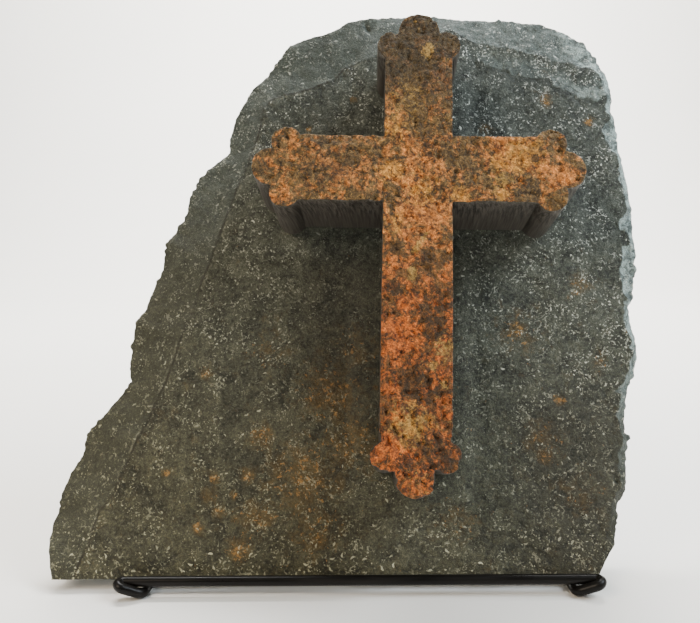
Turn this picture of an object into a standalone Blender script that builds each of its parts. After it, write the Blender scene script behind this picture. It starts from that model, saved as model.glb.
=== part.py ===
"""Slate memorial cross on a rough slate slab, leaning in a bent steel rod stand.

Metres, +Z up. The front faces -Y and +X is to the right seen from the front. The stand's runners
lie on z = 0, and the origin is under the middle of the whole object's box.

The slab and the cross are modelled upright and leaned back together. In their upright frame X runs
across the slab from the line under the middle of the cross, Y is the depth behind the slab's face
and Z runs up the face from the front edge of the sawn base.
"""

import math

import bmesh
import bpy
from mathutils import Matrix, Vector, noise
from mathutils.geometry import delaunay_2d_cdt

# Lean and clearances
LEAN = math.radians(18.0)        # how far the slab leans back from the vertical
GAP = 0.0003                     # clearance kept between pieces that touch

# Noise
NOISE_SCALE = 38.0               # lumps per metre in the split faces
CHIP_SCALE = 210.0               # chips per metre along the broken edge
KNAP_SCALE = 70.0                # broader chips per metre down the walls
NOISE_GAIN = 0.6                 # makes the noise fill the range from 0 to 1
OCTAVES = 3
EDGE_SEED = 3.0                  # each of these picks another run of the noise
FACE_SEED = 1.0
BELLY_SEED = 5.0
BACK_SEED = 9.0
CROSS_SEED = 17.0

# Slate slab
SLAB_HEIGHT = 0.346              # base to highest point, along the face
SLAB_THICKNESS = 0.028
BAND_DROP = 0.0022               # how far the face falls at the broken edge, on the narrowest band
BAND_SLOPE = 0.27                # extra fall for each unit of band width
EDGE_STEP = 0.0065               # spacing of the points round the broken edge
EDGE_CHIP = 0.0011               # how far those points stray in and out
BELLY_DEPTH = 0.45               # share of the wall's depth at which it is knapped back first
BELLY_INSET = 0.0022
BACK_INSET = 0.0065              # how far the back face is smaller all round
LEAST_INSET = 0.45               # least share of an inset, and how much more noise may add
MORE_INSET = 1.1
FACE_STEP = 0.012                # spacing of the points on the split face
FACE_MARGIN = 0.0036             # and how far they stay from the crease or the edge
ROW_SHARE = 0.87                 # rows of points are this much closer than the points in a row
CREASE_SHARE = 0.88              # a crease point is left out if another edge is nearer than this share
FACE_RELIEF = 0.0012             # depth of the hollows in the split face
BED_MARGIN = 0.004               # flat bed kept round the cross
BED_FADE = 0.012                 # width beside the bed over which the hollows begin
TOE_SWELL = 0.0040               # how far the face swells forward at the base
TOE_HEIGHT = 0.040               # height over which the swell dies away and the bands begin
CORNER_BLEND = 0.045             # height over which the side edges follow the level base

# Broken outline, clockwise from the left end of the base to its right end: across, up and the
# width of the sloping band inside the edge, in hundredths of the slab's height
OUTLINE = [
    (-59.6, 0.0, 5.1), (-61.2, 6.1, 6.6), (-60.4, 13.5, 7.7), (-58.9, 17.4, 8.4),
    (-57.1, 20.6, 8.0), (-56.9, 23.3, 8.6), (-55.1, 25.3, 8.0), (-50.8, 30.1, 6.4),
    (-49.3, 32.4, 6.2), (-49.8, 35.4, 7.6), (-49.3, 43.1, 9.0), (-47.4, 45.4, 8.2),
    (-46.6, 48.7, 8.8), (-44.8, 52.5, 8.5), (-44.3, 57.5, 9.2), (-40.8, 62.3, 7.8),
    (-40.3, 66.0, 8.4), (-38.3, 70.2, 7.6), (-32.9, 74.1, 4.8), (-32.9, 77.0, 5.2),
    (-31.7, 80.7, 4.9), (-28.4, 86.2, 4.2), (-25.7, 88.4, 4.7), (-21.6, 94.5, 6.0),
    (-17.2, 96.1, 6.0), (-13.7, 97.0, 6.0), (-11.0, 99.1, 6.0), (-7.2, 99.9, 5.4),
    (-3.4, 100.0, 4.8), (5.6, 99.8, 4.3), (9.8, 99.3, 4.3), (16.8, 99.2, 6.1),
    (21.6, 98.5, 6.3), (24.5, 98.2, 6.7), (29.5, 95.9, 6.1), (32.8, 93.5, 4.8),
    (35.0, 89.8, 2.4), (36.4, 86.5, 1.9), (36.6, 82.8, 1.5), (36.2, 79.7, 1.2),
    (36.8, 79.2, 1.2), (37.1, 73.9, 1.2), (37.4, 70.1, 1.2), (38.0, 67.2, 1.2),
    (38.6, 61.7, 1.2), (38.3, 57.0, 1.2), (38.6, 54.1, 1.2), (37.4, 45.6, 1.2),
    (36.5, 43.9, 1.2), (36.5, 41.5, 1.2), (37.1, 38.6, 1.2), (37.4, 35.4, 1.2),
    (36.5, 32.2, 1.2), (35.3, 29.9, 1.2), (34.8, 27.3, 1.2), (34.2, 22.9, 1.2),
    (34.8, 21.7, 1.2), (34.2, 18.8, 1.2), (33.9, 14.7, 1.2), (33.3, 12.4, 1.5),
    (32.2, 10.9, 1.8), (31.4, 7.7, 2.0), (30.8, 4.8, 1.8), (29.3, 2.7, 1.5),
    (27.8, 0.0, 1.2),
]

# Cross: its bud ends keep their proportions as shares of the bar's width
CROSS_BAR = 0.038
CROSS_THICKNESS = 0.0525
ARM_REACH = 0.0804               # middle of the cross to the centre of an arm's end lobe
HEAD_REACH = 0.0822
FOOT_REACH = 0.1650
END_LOBE = 0.2894                # radius of the lobe on the end
SIDE_LOBE = 0.2284               # radius of the two lobes beside it
SIDE_LOBE_OUT = 0.3934           # their centres, out from the bar's middle line
SIDE_LOBE_BACK = 0.2047          # and back from the end lobe's centre
LOBE_SEGMENTS = 26               # segments in a full turn of a lobe
CROSS_TURN = math.radians(1.9)   # clockwise turn of the cross on the slab
CROSS_UP = 0.636                 # height of the crossing up the slab, as a share of its height
CROSS_ARRIS = 0.0008             # worn edge round the face
CROSS_STEP = 0.010               # spacing of the points on the split face
CROSS_MARGIN = 0.0045            # and how far they stay from the outline
CORNER_REACH = 2.0               # most that a corner's inset may grow with its sharpness
CROSS_RELIEF = 0.0022            # depth of the hollows in the split face

# Stand, one rod bent to a closed frame
ROD = 0.0056
STAND_WIDTH = 0.2656             # nose to nose
RUNNER_SPACING = 0.234           # between the runners' middle lines
REST_WIDTH = 0.184               # length of the back rest's straight bar
REST_UP = 0.150                  # height of the back rest, up the slab's back
STAND_DEPTH = 0.118              # from the slab's front edge back to the rear bends
STAND_ACROSS = -0.036            # middle of the stand, from the line under the cross
FOLD_CLEARANCE = 0.0007          # space inside the level hairpin at each end of the lip bar
CROSSING_CLEARANCE = 0.0005      # space where a runner passes under the lip bar
FOOT_FORWARD = 0.0026            # how far the runners' front corners lie ahead of the lip bar
LIP_CLEARANCE = 0.001            # space between the lip bar and the slab's toe
FOLD_BEND = 0.495                # bend radius at a fold, as a share of the distance it folds back
REAR_BEND = 0.010                # middle-line radii of the other bends
REST_BEND = 0.014
RUNNER_BEND = 0.005
ROD_SIDES = 12
BEND_STEP = math.radians(18.0)   # turn between two rings of the rod in a bend
SHARP_ANGLE = math.radians(50.0) # edges of the rod sharper than this aren't shaded smooth

# Plain colours, with their roughness
SLATE_COLOUR = (0.070, 0.075, 0.068)
SLATE_ROUGHNESS = 0.85
RUST_COLOUR = (0.270, 0.105, 0.040)
RUST_ROUGHNESS = 0.75
STEEL_COLOUR = (0.012, 0.012, 0.013)
STEEL_ROUGHNESS = 0.30


def clear_scene():
    for old in list(bpy.data.objects):
        bpy.data.objects.remove(old, do_unlink=True)


def make_material(name, colour, roughness, metallic=0.0):
    material = bpy.data.materials.new(name)
    material.use_nodes = True
    shader = material.node_tree.nodes["Principled BSDF"]
    shader.inputs["Base Color"].default_value = (*colour, 1.0)
    shader.inputs["Roughness"].default_value = roughness
    shader.inputs["Metallic"].default_value = metallic
    material.diffuse_color = (*colour, 1.0)
    return material


def make_object(name, bm, material, parent):
    bmesh.ops.recalc_face_normals(bm, faces=bm.faces)
    mesh = bpy.data.meshes.new(name)
    bm.to_mesh(mesh)
    bm.free()
    mesh.materials.append(material)
    piece = bpy.data.objects.new(name, mesh)
    bpy.context.scene.collection.objects.link(piece)
    piece.parent = parent
    return piece


def make_empty(name, parent=None):
    empty = bpy.data.objects.new(name, None)
    bpy.context.scene.collection.objects.link(empty)
    empty.parent = parent
    return empty


def smoothstep(value):
    value = min(1.0, max(0.0, value))
    return value * value * (3.0 - 2.0 * value)


def lumps(x, z, scale, seed):
    """Soft noise from 0 to 1 at a point of a face."""
    value = noise.fractal(Vector((x * scale, seed, z * scale)), 1.0, 2.0, OCTAVES)
    return min(1.0, max(0.0, 0.5 + NOISE_GAIN * value))


def base_level(depth):
    """Height of the level sawn base at a depth behind the leaning face."""
    return max(0.0, depth) * math.tan(LEAN)


# The slab


def slab_edge():
    """Points round the broken edge and along the base: x, z, band width and if it is on the base."""
    share = SLAB_HEIGHT / 100.0
    keys = [(x * share, z * share, width * share) for x, z, width in OUTLINE]
    points = []
    for start, end in zip(keys, keys[1:]):
        run = math.hypot(end[0] - start[0], end[1] - start[1])
        steps = max(1, round(run / EDGE_STEP))
        for step in range(steps):
            mix = step / steps
            x, z, width = (a + (b - a) * mix for a, b in zip(start, end))
            on_base = not points
            if points:
                out = Vector((start[1] - end[1], end[0] - start[0])).normalized()
                stray = EDGE_CHIP * noise.noise(Vector((x * CHIP_SCALE, EDGE_SEED, z * CHIP_SCALE)))
                x += out.x * stray
                z += out.y * stray
            points.append((x, z, width, on_base))
    left, right = keys[0], keys[-1]
    steps = round((right[0] - left[0]) / EDGE_STEP)
    for step in range(steps):
        mix = step / steps
        points.append((right[0] + (left[0] - right[0]) * mix, 0.0, right[2], True))
    return points


def band_at(x, z, edge):
    """Distance to the broken edge and the band's width at the nearest place on it."""
    best = (1.0, 1.0)
    for (ax, az, width, on_base), (bx, bz, next_width, next_base) in zip(edge, edge[1:]):
        if on_base and next_base:
            continue
        run_x, run_z = bx - ax, bz - az
        mix = ((x - ax) * run_x + (z - az) * run_z) / max(run_x * run_x + run_z * run_z, 1e-12)
        mix = min(1.0, max(0.0, mix))
        reach = math.hypot(x - ax - run_x * mix, z - az - run_z * mix)
        if reach < best[0]:
            best = (reach, width + (next_width - width) * mix)
    return best


def bed_distance(x, z):
    """Distance from the outline of the cross, taken as two plain bars, measured on the slab."""
    up = z - CROSS_UP * SLAB_HEIGHT
    turn = Matrix.Rotation(CROSS_TURN, 2)
    across, up = turn @ Vector((x, up))
    half = CROSS_BAR * (SIDE_LOBE_OUT + SIDE_LOBE)
    tip = CROSS_BAR * END_LOBE

    def outside(px, pz, low_x, high_x, low_z, high_z):
        return math.hypot(max(low_x - px, 0.0, px - high_x), max(low_z - pz, 0.0, pz - high_z))

    beam = outside(across, up, -ARM_REACH - tip, ARM_REACH + tip, -half, half)
    post = outside(across, up, -half, half, -FOOT_REACH - tip, HEAD_REACH + tip)
    return min(beam, post)


def face_depth(x, z, edge):
    """How far the slab's front lies behind its datum plane."""
    reach, width = band_at(x, z, edge)
    fall = (BAND_DROP + BAND_SLOPE * width) * max(0.0, 1.0 - reach / width)
    free = smoothstep((bed_distance(x, z) - BED_MARGIN) / BED_FADE)
    hollow = FACE_RELIEF * free * lumps(x, z, NOISE_SCALE, FACE_SEED)
    above_toe = smoothstep(z / TOE_HEIGHT)
    return fall * above_toe + hollow - TOE_SWELL * (1.0 - above_toe)


def inward_normals(edge, reach=3):
    """Smoothed normals of the edge, pointing into the slab, as x and z."""
    count = len(edge)
    normals = []
    for index in range(count):
        before = edge[(index - reach) % count]
        after = edge[(index + reach) % count]
        along = Vector((after[0] - before[0], after[1] - before[1]))
        normals.append(Vector((along.y, -along.x)).normalized())
    return normals


def slab_ring(edge, depths, inset, seed):
    """One ring round the slab's wall, at a depth for each point and an inset that varies."""
    normals = inward_normals(edge)
    left, right = edge[0][0], max(point[0] for point in edge if point[3])
    ring = []
    for (x, z, _, on_base), normal, depth in zip(edge, normals, depths):
        level = base_level(depth)
        if on_base:
            middle = (left + right) / 2.0
            x = middle + (x - middle) * (1.0 - 2.0 * inset / (right - left))
            ring.append(Vector((x, depth, level)))
            continue
        amount = inset * (LEAST_INSET + MORE_INSET * lumps(x, z, KNAP_SCALE, seed))
        x += normal.x * amount
        z += normal.y * amount
        z += level * max(0.0, 1.0 - z / CORNER_BLEND)
        ring.append(Vector((x, depth, z)))
    return ring


def fill_outline(bm, ring, inner):
    """Fill a ring of vertices with triangles that also use the inner points."""
    flat = [Vector((vert.co.x, vert.co.z)) for vert in ring]
    flat += [Vector((point.x, point.z)) for point in inner]
    edges = [(index, (index + 1) % len(ring)) for index in range(len(ring))]
    _, _, faces, sources, _, _ = delaunay_2d_cdt(flat, edges, [], 1, 1e-7)
    verts = list(ring) + [bm.verts.new(point) for point in inner]
    for face in faces:
        bm.faces.new([verts[sources[index][0]] for index in face])


def join_rings(bm, first, second):
    count = len(first)
    for index in range(count):
        after = (index + 1) % count
        bm.faces.new((first[index], first[after], second[after], second[index]))


def slab_face_points(edge, rim):
    """Points inside the slab's face: the crease of the sloping band, its middle and a loose grid."""
    normals = inward_normals(edge, reach=5)
    spots = []
    for index in range(2, len(edge), 2):
        x, z, width, on_base = edge[index]
        if on_base or width < FACE_STEP / 2.0:
            continue
        for share in (0.5, 1.0):
            spot = Vector((x, z)) + normals[index] * width * share
            reach, _ = band_at(spot.x, spot.y, edge)
            if reach > CREASE_SHARE * width * share and spot.y > FACE_STEP / 2.0:
                spots.append(spot)
    row = 0
    z = FACE_STEP - FACE_MARGIN
    while z < SLAB_HEIGHT:
        x = -SLAB_HEIGHT + (row % 2) * FACE_STEP / 2.0
        while x < SLAB_HEIGHT:
            spot = Vector((x, z))
            reach, width = band_at(x, z, edge)
            if inside(spot, rim) and reach > max(width, FACE_STEP / 2.0) + FACE_MARGIN:
                spots.append(spot)
            x += FACE_STEP
        z += FACE_STEP * ROW_SHARE
        row += 1
    return [Vector((spot.x, face_depth(spot.x, spot.y, edge), spot.y)) for spot in spots]


def inside(spot, ring):
    """Is a point inside a ring of x, y, z points, seen from the front?"""
    hit = False
    for start, end in zip(ring, ring[1:] + ring[:1]):
        if (start.z > spot.y) != (end.z > spot.y):
            x = start.x + (spot.y - start.z) / (end.z - start.z) * (end.x - start.x)
            if spot.x < x:
                hit = not hit
    return hit


def make_slab(parent, material):
    edge = slab_edge()
    front_depths = [face_depth(x, z, edge) for x, z, _, _ in edge]
    front = slab_ring(edge, front_depths, 0.0, FACE_SEED)
    belly_depths = [depth + (SLAB_THICKNESS - depth) * BELLY_DEPTH for depth in front_depths]
    belly = slab_ring(edge, belly_depths, BELLY_INSET, BELLY_SEED)
    back = slab_ring(edge, [SLAB_THICKNESS] * len(edge), BACK_INSET, BACK_SEED)
    bm = bmesh.new()
    rings = [[bm.verts.new(point) for point in ring] for ring in (front, belly, back)]
    fill_outline(bm, rings[0], slab_face_points(edge, front))
    join_rings(bm, rings[0], rings[1])
    join_rings(bm, rings[1], rings[2])
    fill_outline(bm, rings[2], [])
    return make_object("backing_slab", bm, material, parent)


# The cross


def lobe_arc(centre, radius, start, end):
    """Points of an arc from one angle to another, counter-clockwise, without its last point."""
    steps = max(2, round((end - start) / math.tau * LOBE_SEGMENTS))
    angles = [start + (end - start) * step / steps for step in range(steps)]
    return [centre + radius * Vector((math.cos(angle), math.sin(angle))) for angle in angles]


def bud_end(reach):
    """One bud end that points along +X, from the bar's lower edge round to its upper edge."""
    half = CROSS_BAR / 2.0
    end_radius = CROSS_BAR * END_LOBE
    side_radius = CROSS_BAR * SIDE_LOBE
    end_centre = Vector((reach, 0.0))
    side_centre = Vector((reach - CROSS_BAR * SIDE_LOBE_BACK, -CROSS_BAR * SIDE_LOBE_OUT))
    between = end_centre - side_centre
    span = between.length
    start = math.pi + math.asin((half + side_centre.y) / side_radius)
    spread = math.acos((side_radius ** 2 + span ** 2 - end_radius ** 2) / (2.0 * side_radius * span))
    leave = math.atan2(between.y, between.x) - spread
    notch = side_centre + side_radius * Vector((math.cos(leave), math.sin(leave)))
    meet = math.atan2(notch.y - end_centre.y, notch.x - end_centre.x)
    lower = lobe_arc(side_centre, side_radius, start, leave + math.tau)
    middle = lobe_arc(end_centre, end_radius, meet, -meet)
    upper = [Vector((point.x, -point.y)) for point in reversed(lower)]
    return lower + middle + [Vector((notch.x, -notch.y))] + upper


def cross_outline():
    """Outline of the cross, counter-clockwise seen from the front, as x and z."""
    half = CROSS_BAR / 2.0
    ends = ((ARM_REACH, 0.0), (HEAD_REACH, 90.0), (ARM_REACH, 180.0), (FOOT_REACH, 270.0))
    points = []
    for reach, angle in ends:
        turn = Matrix.Rotation(math.radians(angle), 2)
        points += [turn @ point for point in bud_end(reach)]
        points.append(turn @ Vector((half, half)))
    return points


def inset_outline(points, amount):
    """The outline moved inwards, corner by corner."""
    moved = []
    for before, here, after in zip(points[-1:] + points[:-1], points, points[1:] + points[:1]):
        first = (here - before).normalized()
        second = (after - here).normalized()
        normal = Vector((-first.y - second.y, first.x + second.x)).normalized()
        lean = max(1.0 / CORNER_REACH, normal.dot(Vector((-first.y, first.x))))
        moved.append(here + normal * amount / lean)
    return moved


def cross_front(x, z):
    """Depth of the split face of the cross behind its foremost plane."""
    return CROSS_RELIEF * lumps(x, z, NOISE_SCALE, CROSS_SEED)


def make_cross(parent, material):
    outline = cross_outline()
    worn = inset_outline(outline, CROSS_ARRIS)
    front = -CROSS_THICKNESS
    face_ring = [Vector((p.x, front + cross_front(p.x, p.y), p.y)) for p in worn]
    edge_ring = [Vector((p.x, front + cross_front(p.x, p.y) + CROSS_ARRIS, p.y)) for p in outline]
    back_ring = [Vector((p.x, 0.0, p.y)) for p in outline]
    guard = [Vector((p.x, 0.0, p.y)) for p in inset_outline(outline, CROSS_MARGIN)]
    inner = []
    tall = FOOT_REACH + HEAD_REACH
    rows = round(tall / CROSS_STEP)
    columns = round(ARM_REACH / CROSS_STEP)
    for row in range(rows + 1):
        for column in range(-columns, columns + 1):
            spot = Vector((column * CROSS_STEP, (row + 0.5 * (column % 2)) * CROSS_STEP - FOOT_REACH))
            if inside(spot, guard):
                inner.append(Vector((spot.x, front + cross_front(spot.x, spot.y), spot.y)))
    bm = bmesh.new()
    rings = [[bm.verts.new(point) for point in ring] for ring in (face_ring, edge_ring, back_ring)]
    fill_outline(bm, rings[0], inner)
    join_rings(bm, rings[0], rings[1])
    join_rings(bm, rings[1], rings[2])
    fill_outline(bm, rings[2], [])
    piece = make_object("cross", bm, material, parent)
    piece.location = (0.0, -GAP, CROSS_UP * SLAB_HEIGHT)
    piece.rotation_euler = (0.0, CROSS_TURN, 0.0)
    return piece


# The stand


def behind_slab(up, depth):
    """Place of a point up and behind the leaning face, as y and z."""
    y = up * math.sin(LEAN) + depth * math.cos(LEAN)
    z = ROD + GAP + up * math.cos(LEAN) - depth * math.sin(LEAN)
    return y, z


def stand_corners():
    """Corners of the rod's middle line on its right half, each with its bend radius."""
    radius = ROD / 2.0
    fold = ROD + FOLD_CLEARANCE
    lip_y = -TOE_SWELL - LIP_CLEARANCE - radius
    lip_z = radius + ROD + CROSSING_CLEARANCE
    nose = STAND_WIDTH / 2.0 - radius
    runner = RUNNER_SPACING / 2.0
    rest_y, rest_z = behind_slab(REST_UP, SLAB_THICKNESS + GAP + radius)
    return [
        (Vector((0.0, lip_y, lip_z)), 0.0),
        (Vector((nose, lip_y, lip_z)), fold * FOLD_BEND),
        (Vector((nose, lip_y - fold, lip_z)), fold * FOLD_BEND),
        (Vector((runner, lip_y - FOOT_FORWARD, radius)), RUNNER_BEND),
        (Vector((runner, STAND_DEPTH, radius)), REAR_BEND),
        (Vector((REST_WIDTH / 2.0, rest_y, rest_z)), REST_BEND),
        (Vector((0.0, rest_y, rest_z)), 0.0),
    ]


def rounded_path(corners):
    """Middle line through the corners, with an arc at each bend."""
    path = [corners[0][0]]
    for (before, _), (here, radius), (after, _) in zip(corners, corners[1:], corners[2:]):
        coming = (here - before).normalized()
        going = (after - here).normalized()
        turn = coming.angle(going)
        reach = radius * math.tan(turn / 2.0)
        axis = coming.cross(going).normalized()
        centre = here - coming * reach + axis.cross(coming) * radius
        spoke = here - coming * reach - centre
        steps = max(2, math.ceil(turn / BEND_STEP))
        for step in range(steps + 1):
            path.append(centre + Matrix.Rotation(turn * step / steps, 3, axis) @ spoke)
    path.append(corners[-1][0])
    return path


def path_directions(path):
    directions = []
    last = len(path) - 1
    for index in range(last + 1):
        before = path[max(0, index - 1)]
        after = path[min(last, index + 1)]
        here = path[index]
        into = (here - before).normalized() if index else Vector((0.0, 0.0, 0.0))
        out = (after - here).normalized() if index < last else Vector((0.0, 0.0, 0.0))
        directions.append((into + out).normalized())
    return directions


def carried_normals(directions, start):
    """Normals across the rod, carried both ways from the runner, where the normal points up."""
    normals = [None] * len(directions)
    normals[start] = Vector((0.0, 0.0, 1.0))
    for step in (1, -1):
        index = start + step
        while 0 <= index < len(directions):
            carried = normals[index - step]
            along = directions[index]
            normals[index] = (carried - along * carried.dot(along)).normalized()
            index += step
    return normals


def make_stand(parent, material):
    corners = stand_corners()
    path = rounded_path(corners)
    directions = path_directions(path)
    longest = max(range(len(path) - 1), key=lambda i: (path[i + 1] - path[i]).y)
    normals = carried_normals(directions, longest)
    turn = math.tau / ROD_SIDES
    corner_radius = ROD / 2.0 / math.cos(turn / 2.0)
    bm = bmesh.new()
    right = []
    for here, along, normal in zip(path, directions, normals):
        side = along.cross(normal)
        ring = []
        for index in range(ROD_SIDES):
            angle = turn * (index + 0.5)
            ring.append(here + corner_radius * (math.cos(angle) * normal + math.sin(angle) * side))
        right.append(ring)
    left = [[Vector((-p.x, p.y, p.z)) for p in ring] for ring in reversed(right[1:-1])]
    rings = [[bm.verts.new(point) for point in ring] for ring in right + left]
    for first, second in zip(rings, rings[1:] + rings[:1]):
        join_rings(bm, first, second)
    for face in bm.faces:
        face.smooth = True
    piece = make_object("rod_stand", bm, material, parent)
    piece.data.set_sharp_from_angle(angle=SHARP_ANGLE)
    piece.location.x = STAND_ACROSS
    return piece


def centre_origin(root, pieces):
    """Move everything so that the origin is under the middle of the whole box."""
    bpy.context.view_layer.update()
    corners = [piece.matrix_world @ vert.co for piece in pieces for vert in piece.data.vertices]
    middle_x = (min(c.x for c in corners) + max(c.x for c in corners)) / 2.0
    middle_y = (min(c.y for c in corners) + max(c.y for c in corners)) / 2.0
    root.location = (-middle_x, -middle_y, 0.0)


def main():
    clear_scene()
    slate = make_material("Grey slate", SLATE_COLOUR, SLATE_ROUGHNESS)
    rusty = make_material("Rusty slate", RUST_COLOUR, RUST_ROUGHNESS)
    steel = make_material("Black painted steel", STEEL_COLOUR, STEEL_ROUGHNESS)
    root = make_empty("Under the middle")
    leaning = make_empty("Front edge of the base", root)
    leaning.location.z = ROD + GAP
    leaning.rotation_euler.x = -LEAN
    pieces = [make_slab(leaning, slate), make_cross(leaning, rusty), make_stand(root, steel)]
    centre_origin(root, pieces)


main()
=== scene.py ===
# %% [markdown]
# A slate cross on a broken slab, leaning in a bent rod stand.
#
# The real object has three pieces. A slab of dark, fossil-flecked slate was sawn flat along one side
# and broken by hand along the others. A thick cross with bud ends was cut by water jet from a second,
# rust-stained slab and stuck to the face. A black steel rod, bent to a closed frame, holds both up.
# The CAD model gives each piece its place and size, and this script gives them their finish.

# %% Load the CAD model
import math

import bmesh
import bpy
import numpy as np
from mathutils import Matrix, Vector, noise
from mathutils.geometry import delaunay_2d_cdt


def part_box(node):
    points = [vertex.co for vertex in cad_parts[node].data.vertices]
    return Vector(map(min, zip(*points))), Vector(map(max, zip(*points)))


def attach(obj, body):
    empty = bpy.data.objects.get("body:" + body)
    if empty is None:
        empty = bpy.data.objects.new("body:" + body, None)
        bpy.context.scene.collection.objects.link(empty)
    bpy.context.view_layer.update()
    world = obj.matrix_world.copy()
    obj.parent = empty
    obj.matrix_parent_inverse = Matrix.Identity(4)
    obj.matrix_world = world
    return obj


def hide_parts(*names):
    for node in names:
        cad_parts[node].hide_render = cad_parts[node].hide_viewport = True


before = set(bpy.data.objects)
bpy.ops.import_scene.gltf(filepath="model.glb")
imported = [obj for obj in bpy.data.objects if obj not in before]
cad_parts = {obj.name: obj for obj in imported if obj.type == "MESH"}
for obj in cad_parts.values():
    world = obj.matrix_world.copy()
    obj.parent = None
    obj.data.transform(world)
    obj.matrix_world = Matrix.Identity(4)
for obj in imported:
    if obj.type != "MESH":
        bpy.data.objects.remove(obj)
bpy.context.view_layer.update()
print("CAD nodes:", sorted(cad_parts))

# %% [markdown]
# The slab leans back by 18 degrees, and both stones are easiest to draw as if it stood upright: across,
# behind the face and up the face. One function turns such places into places in the scene, so that
# each finished piece has its shape in its mesh while its object stays at the origin, unturned.

# %% From the slab's directions to the scene's
LEAN = math.radians(18.0)
FACE_FOOT = (0.0391117, -0.0479713, 0.0059)   # front edge of the base, under the middle of the cross


def from_slab(rows):
    """Rows of across, depth behind the face and height up the face, as places in the scene."""
    across, depth, up = np.asarray(rows, dtype=float).T
    return np.column_stack((
        FACE_FOOT[0] + across,
        FACE_FOOT[1] + up * math.sin(LEAN) + depth * math.cos(LEAN),
        FACE_FOOT[2] + up * math.cos(LEAN) - depth * math.sin(LEAN),
    ))


slab_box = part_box("backing_slab")
print("slab's CAD box in mm:", [[round(1000.0 * v, 1) for v in corner] for corner in slab_box])

# %% [markdown]
# Broken stone has lumps of every size. Fractal noise gives them: each finer octave is added at half the
# height. The scale is in lumps per metre and the seed picks another slice, so the same call always
# gives the same stone. The broad lumps repeat those of the CAD solids, so the shapes agree.

# %% Noise for stone


def fractal(points, scale, seed, octaves=3):
    """Fractal noise, about -1 to 1, at rows of across and up."""
    return np.array([
        noise.fractal(Vector((x * scale, seed, z * scale)), 1.0, 2.0, octaves) for x, z in points
    ])


def lumps(points, scale, seed, octaves=3):
    """The same noise as soft lumps from 0 to 1."""
    return np.clip(0.5 + 0.6 * fractal(points, scale, seed, octaves), 0.0, 1.0)


def smooth(value):
    """A soft step from 0 to 1."""
    value = np.clip(value, 0.0, 1.0)
    return value * value * (3.0 - 2.0 * value)


def ramp(value, start, end):
    """A soft step from 0 to 1 while the value goes from start to end."""
    return smooth((value - start) / (end - start))


def bell(value, middle, width):
    """1 at the middle, dying away over about this width on both sides."""
    return np.exp(-((value - middle) / width) ** 2)


def layered(points, count, scale, seed, riser):
    """Levels 0, 1, 2 and so on with steep risers, where a split jumped from layer to layer."""
    level = count * lumps(points, scale, seed, 4)
    return np.floor(level) + smooth((level % 1.0) / riser)


# %% [markdown]
# The slab's outline was measured on the photograph, one row for each corner of the break. The corners
# were picked there and then projected on the slab's plane with the solved camera. Rows are in
# hundredths of the slab's height, so the outline keeps its form at any size. Between these corners
# the edge is chipped: in some stretches roughly, in others hardly at all.

# %% The slab's broken outline
SLAB_HEIGHT = 0.346
SLAB_THICKNESS = 0.028
OUTLINE = [
    (-59.8, 0.0), (-61.4, 6.1), (-60.6, 13.5), (-59.1, 17.4), (-57.3, 20.6), (-57.1, 23.3),
    (-55.3, 25.3), (-51.0, 30.1), (-49.5, 32.4), (-50.0, 35.4), (-49.5, 43.1), (-47.6, 45.4),
    (-46.8, 48.7), (-45.0, 52.5), (-44.5, 57.5), (-41.0, 62.3), (-40.5, 66.0), (-38.5, 70.2),
    (-33.1, 74.1), (-33.3, 77.0), (-32.2, 80.7), (-29.1, 86.6), (-26.4, 88.9), (-22.1, 94.9),
    (-17.6, 96.6), (-14.0, 97.5), (-11.2, 99.4), (-7.2, 100.0), (-3.4, 100.0), (5.6, 99.8),
    (9.8, 99.3), (16.8, 99.2), (21.6, 98.5), (24.5, 98.2), (29.5, 95.9), (32.8, 93.5),
    (35.0, 89.8), (36.4, 86.5), (36.6, 82.8), (36.2, 79.7), (36.8, 79.2), (37.1, 73.9),
    (37.4, 70.1), (38.0, 67.2), (38.6, 61.7), (38.3, 57.0), (38.6, 54.1), (37.4, 45.6),
    (36.5, 43.9), (36.5, 41.5), (37.1, 38.6), (37.4, 35.4), (36.5, 32.2), (35.3, 29.9),
    (34.8, 27.3), (34.2, 22.9), (34.8, 21.7), (34.2, 18.8), (33.9, 14.7), (33.3, 12.4),
    (32.2, 10.9), (31.4, 7.7), (30.8, 4.8), (29.3, 2.7), (27.8, 0.0),
]
CHIP_SCALE, CHIP_SIZE = 170.0, 0.0010     # broad chips: how many per metre, and how far they stray
NOTCH_SCALE, NOTCH_SIZE = 230.0, 0.0030   # sharp small notches, cut where the noise crosses zero
NOTCH_CUT = 0.20                          # how deep they cut, as a share of their size
CALM_SCALE, CALM_SHARE = 55.0, 0.25       # calm stretches, and the share of the chips they keep


def edge_stray(x, z):
    """How far the broken edge strays outwards at a place."""
    calm, chip, notch = (
        noise.noise(Vector((x * scale, seed, z * scale)))
        for scale, seed in ((CALM_SCALE, 5.0), (CHIP_SCALE, 3.0), (NOTCH_SCALE, 7.0))
    )
    rough = CALM_SHARE + (1.0 - CALM_SHARE) * float(smooth(0.35 + 2.4 * calm))
    return rough * (CHIP_SIZE * chip + NOTCH_SIZE * (abs(notch) - NOTCH_CUT))


def slab_edge(step):
    """Rows of across, up and 1 for the base, round the outline at about this spacing."""
    keys = np.array(OUTLINE) * SLAB_HEIGHT / 100.0
    rows = []
    for start, end in zip(keys, keys[1:]):
        run = math.hypot(*(end - start))
        out = np.array((start[1] - end[1], end[0] - start[0])) / run
        steps = max(1, round(run / step))
        for number in range(steps):
            place = start + (end - start) * number / steps
            if rows:
                place = place + out * edge_stray(*place)
            rows.append((*place, 0.0 if rows else 1.0))
    left, right = keys[0, 0], keys[-1, 0]
    steps = round((right - left) / step)
    for number in range(steps):
        rows.append((right + (left - right) * number / steps, 0.0, 1.0))
    return np.array(rows)


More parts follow.
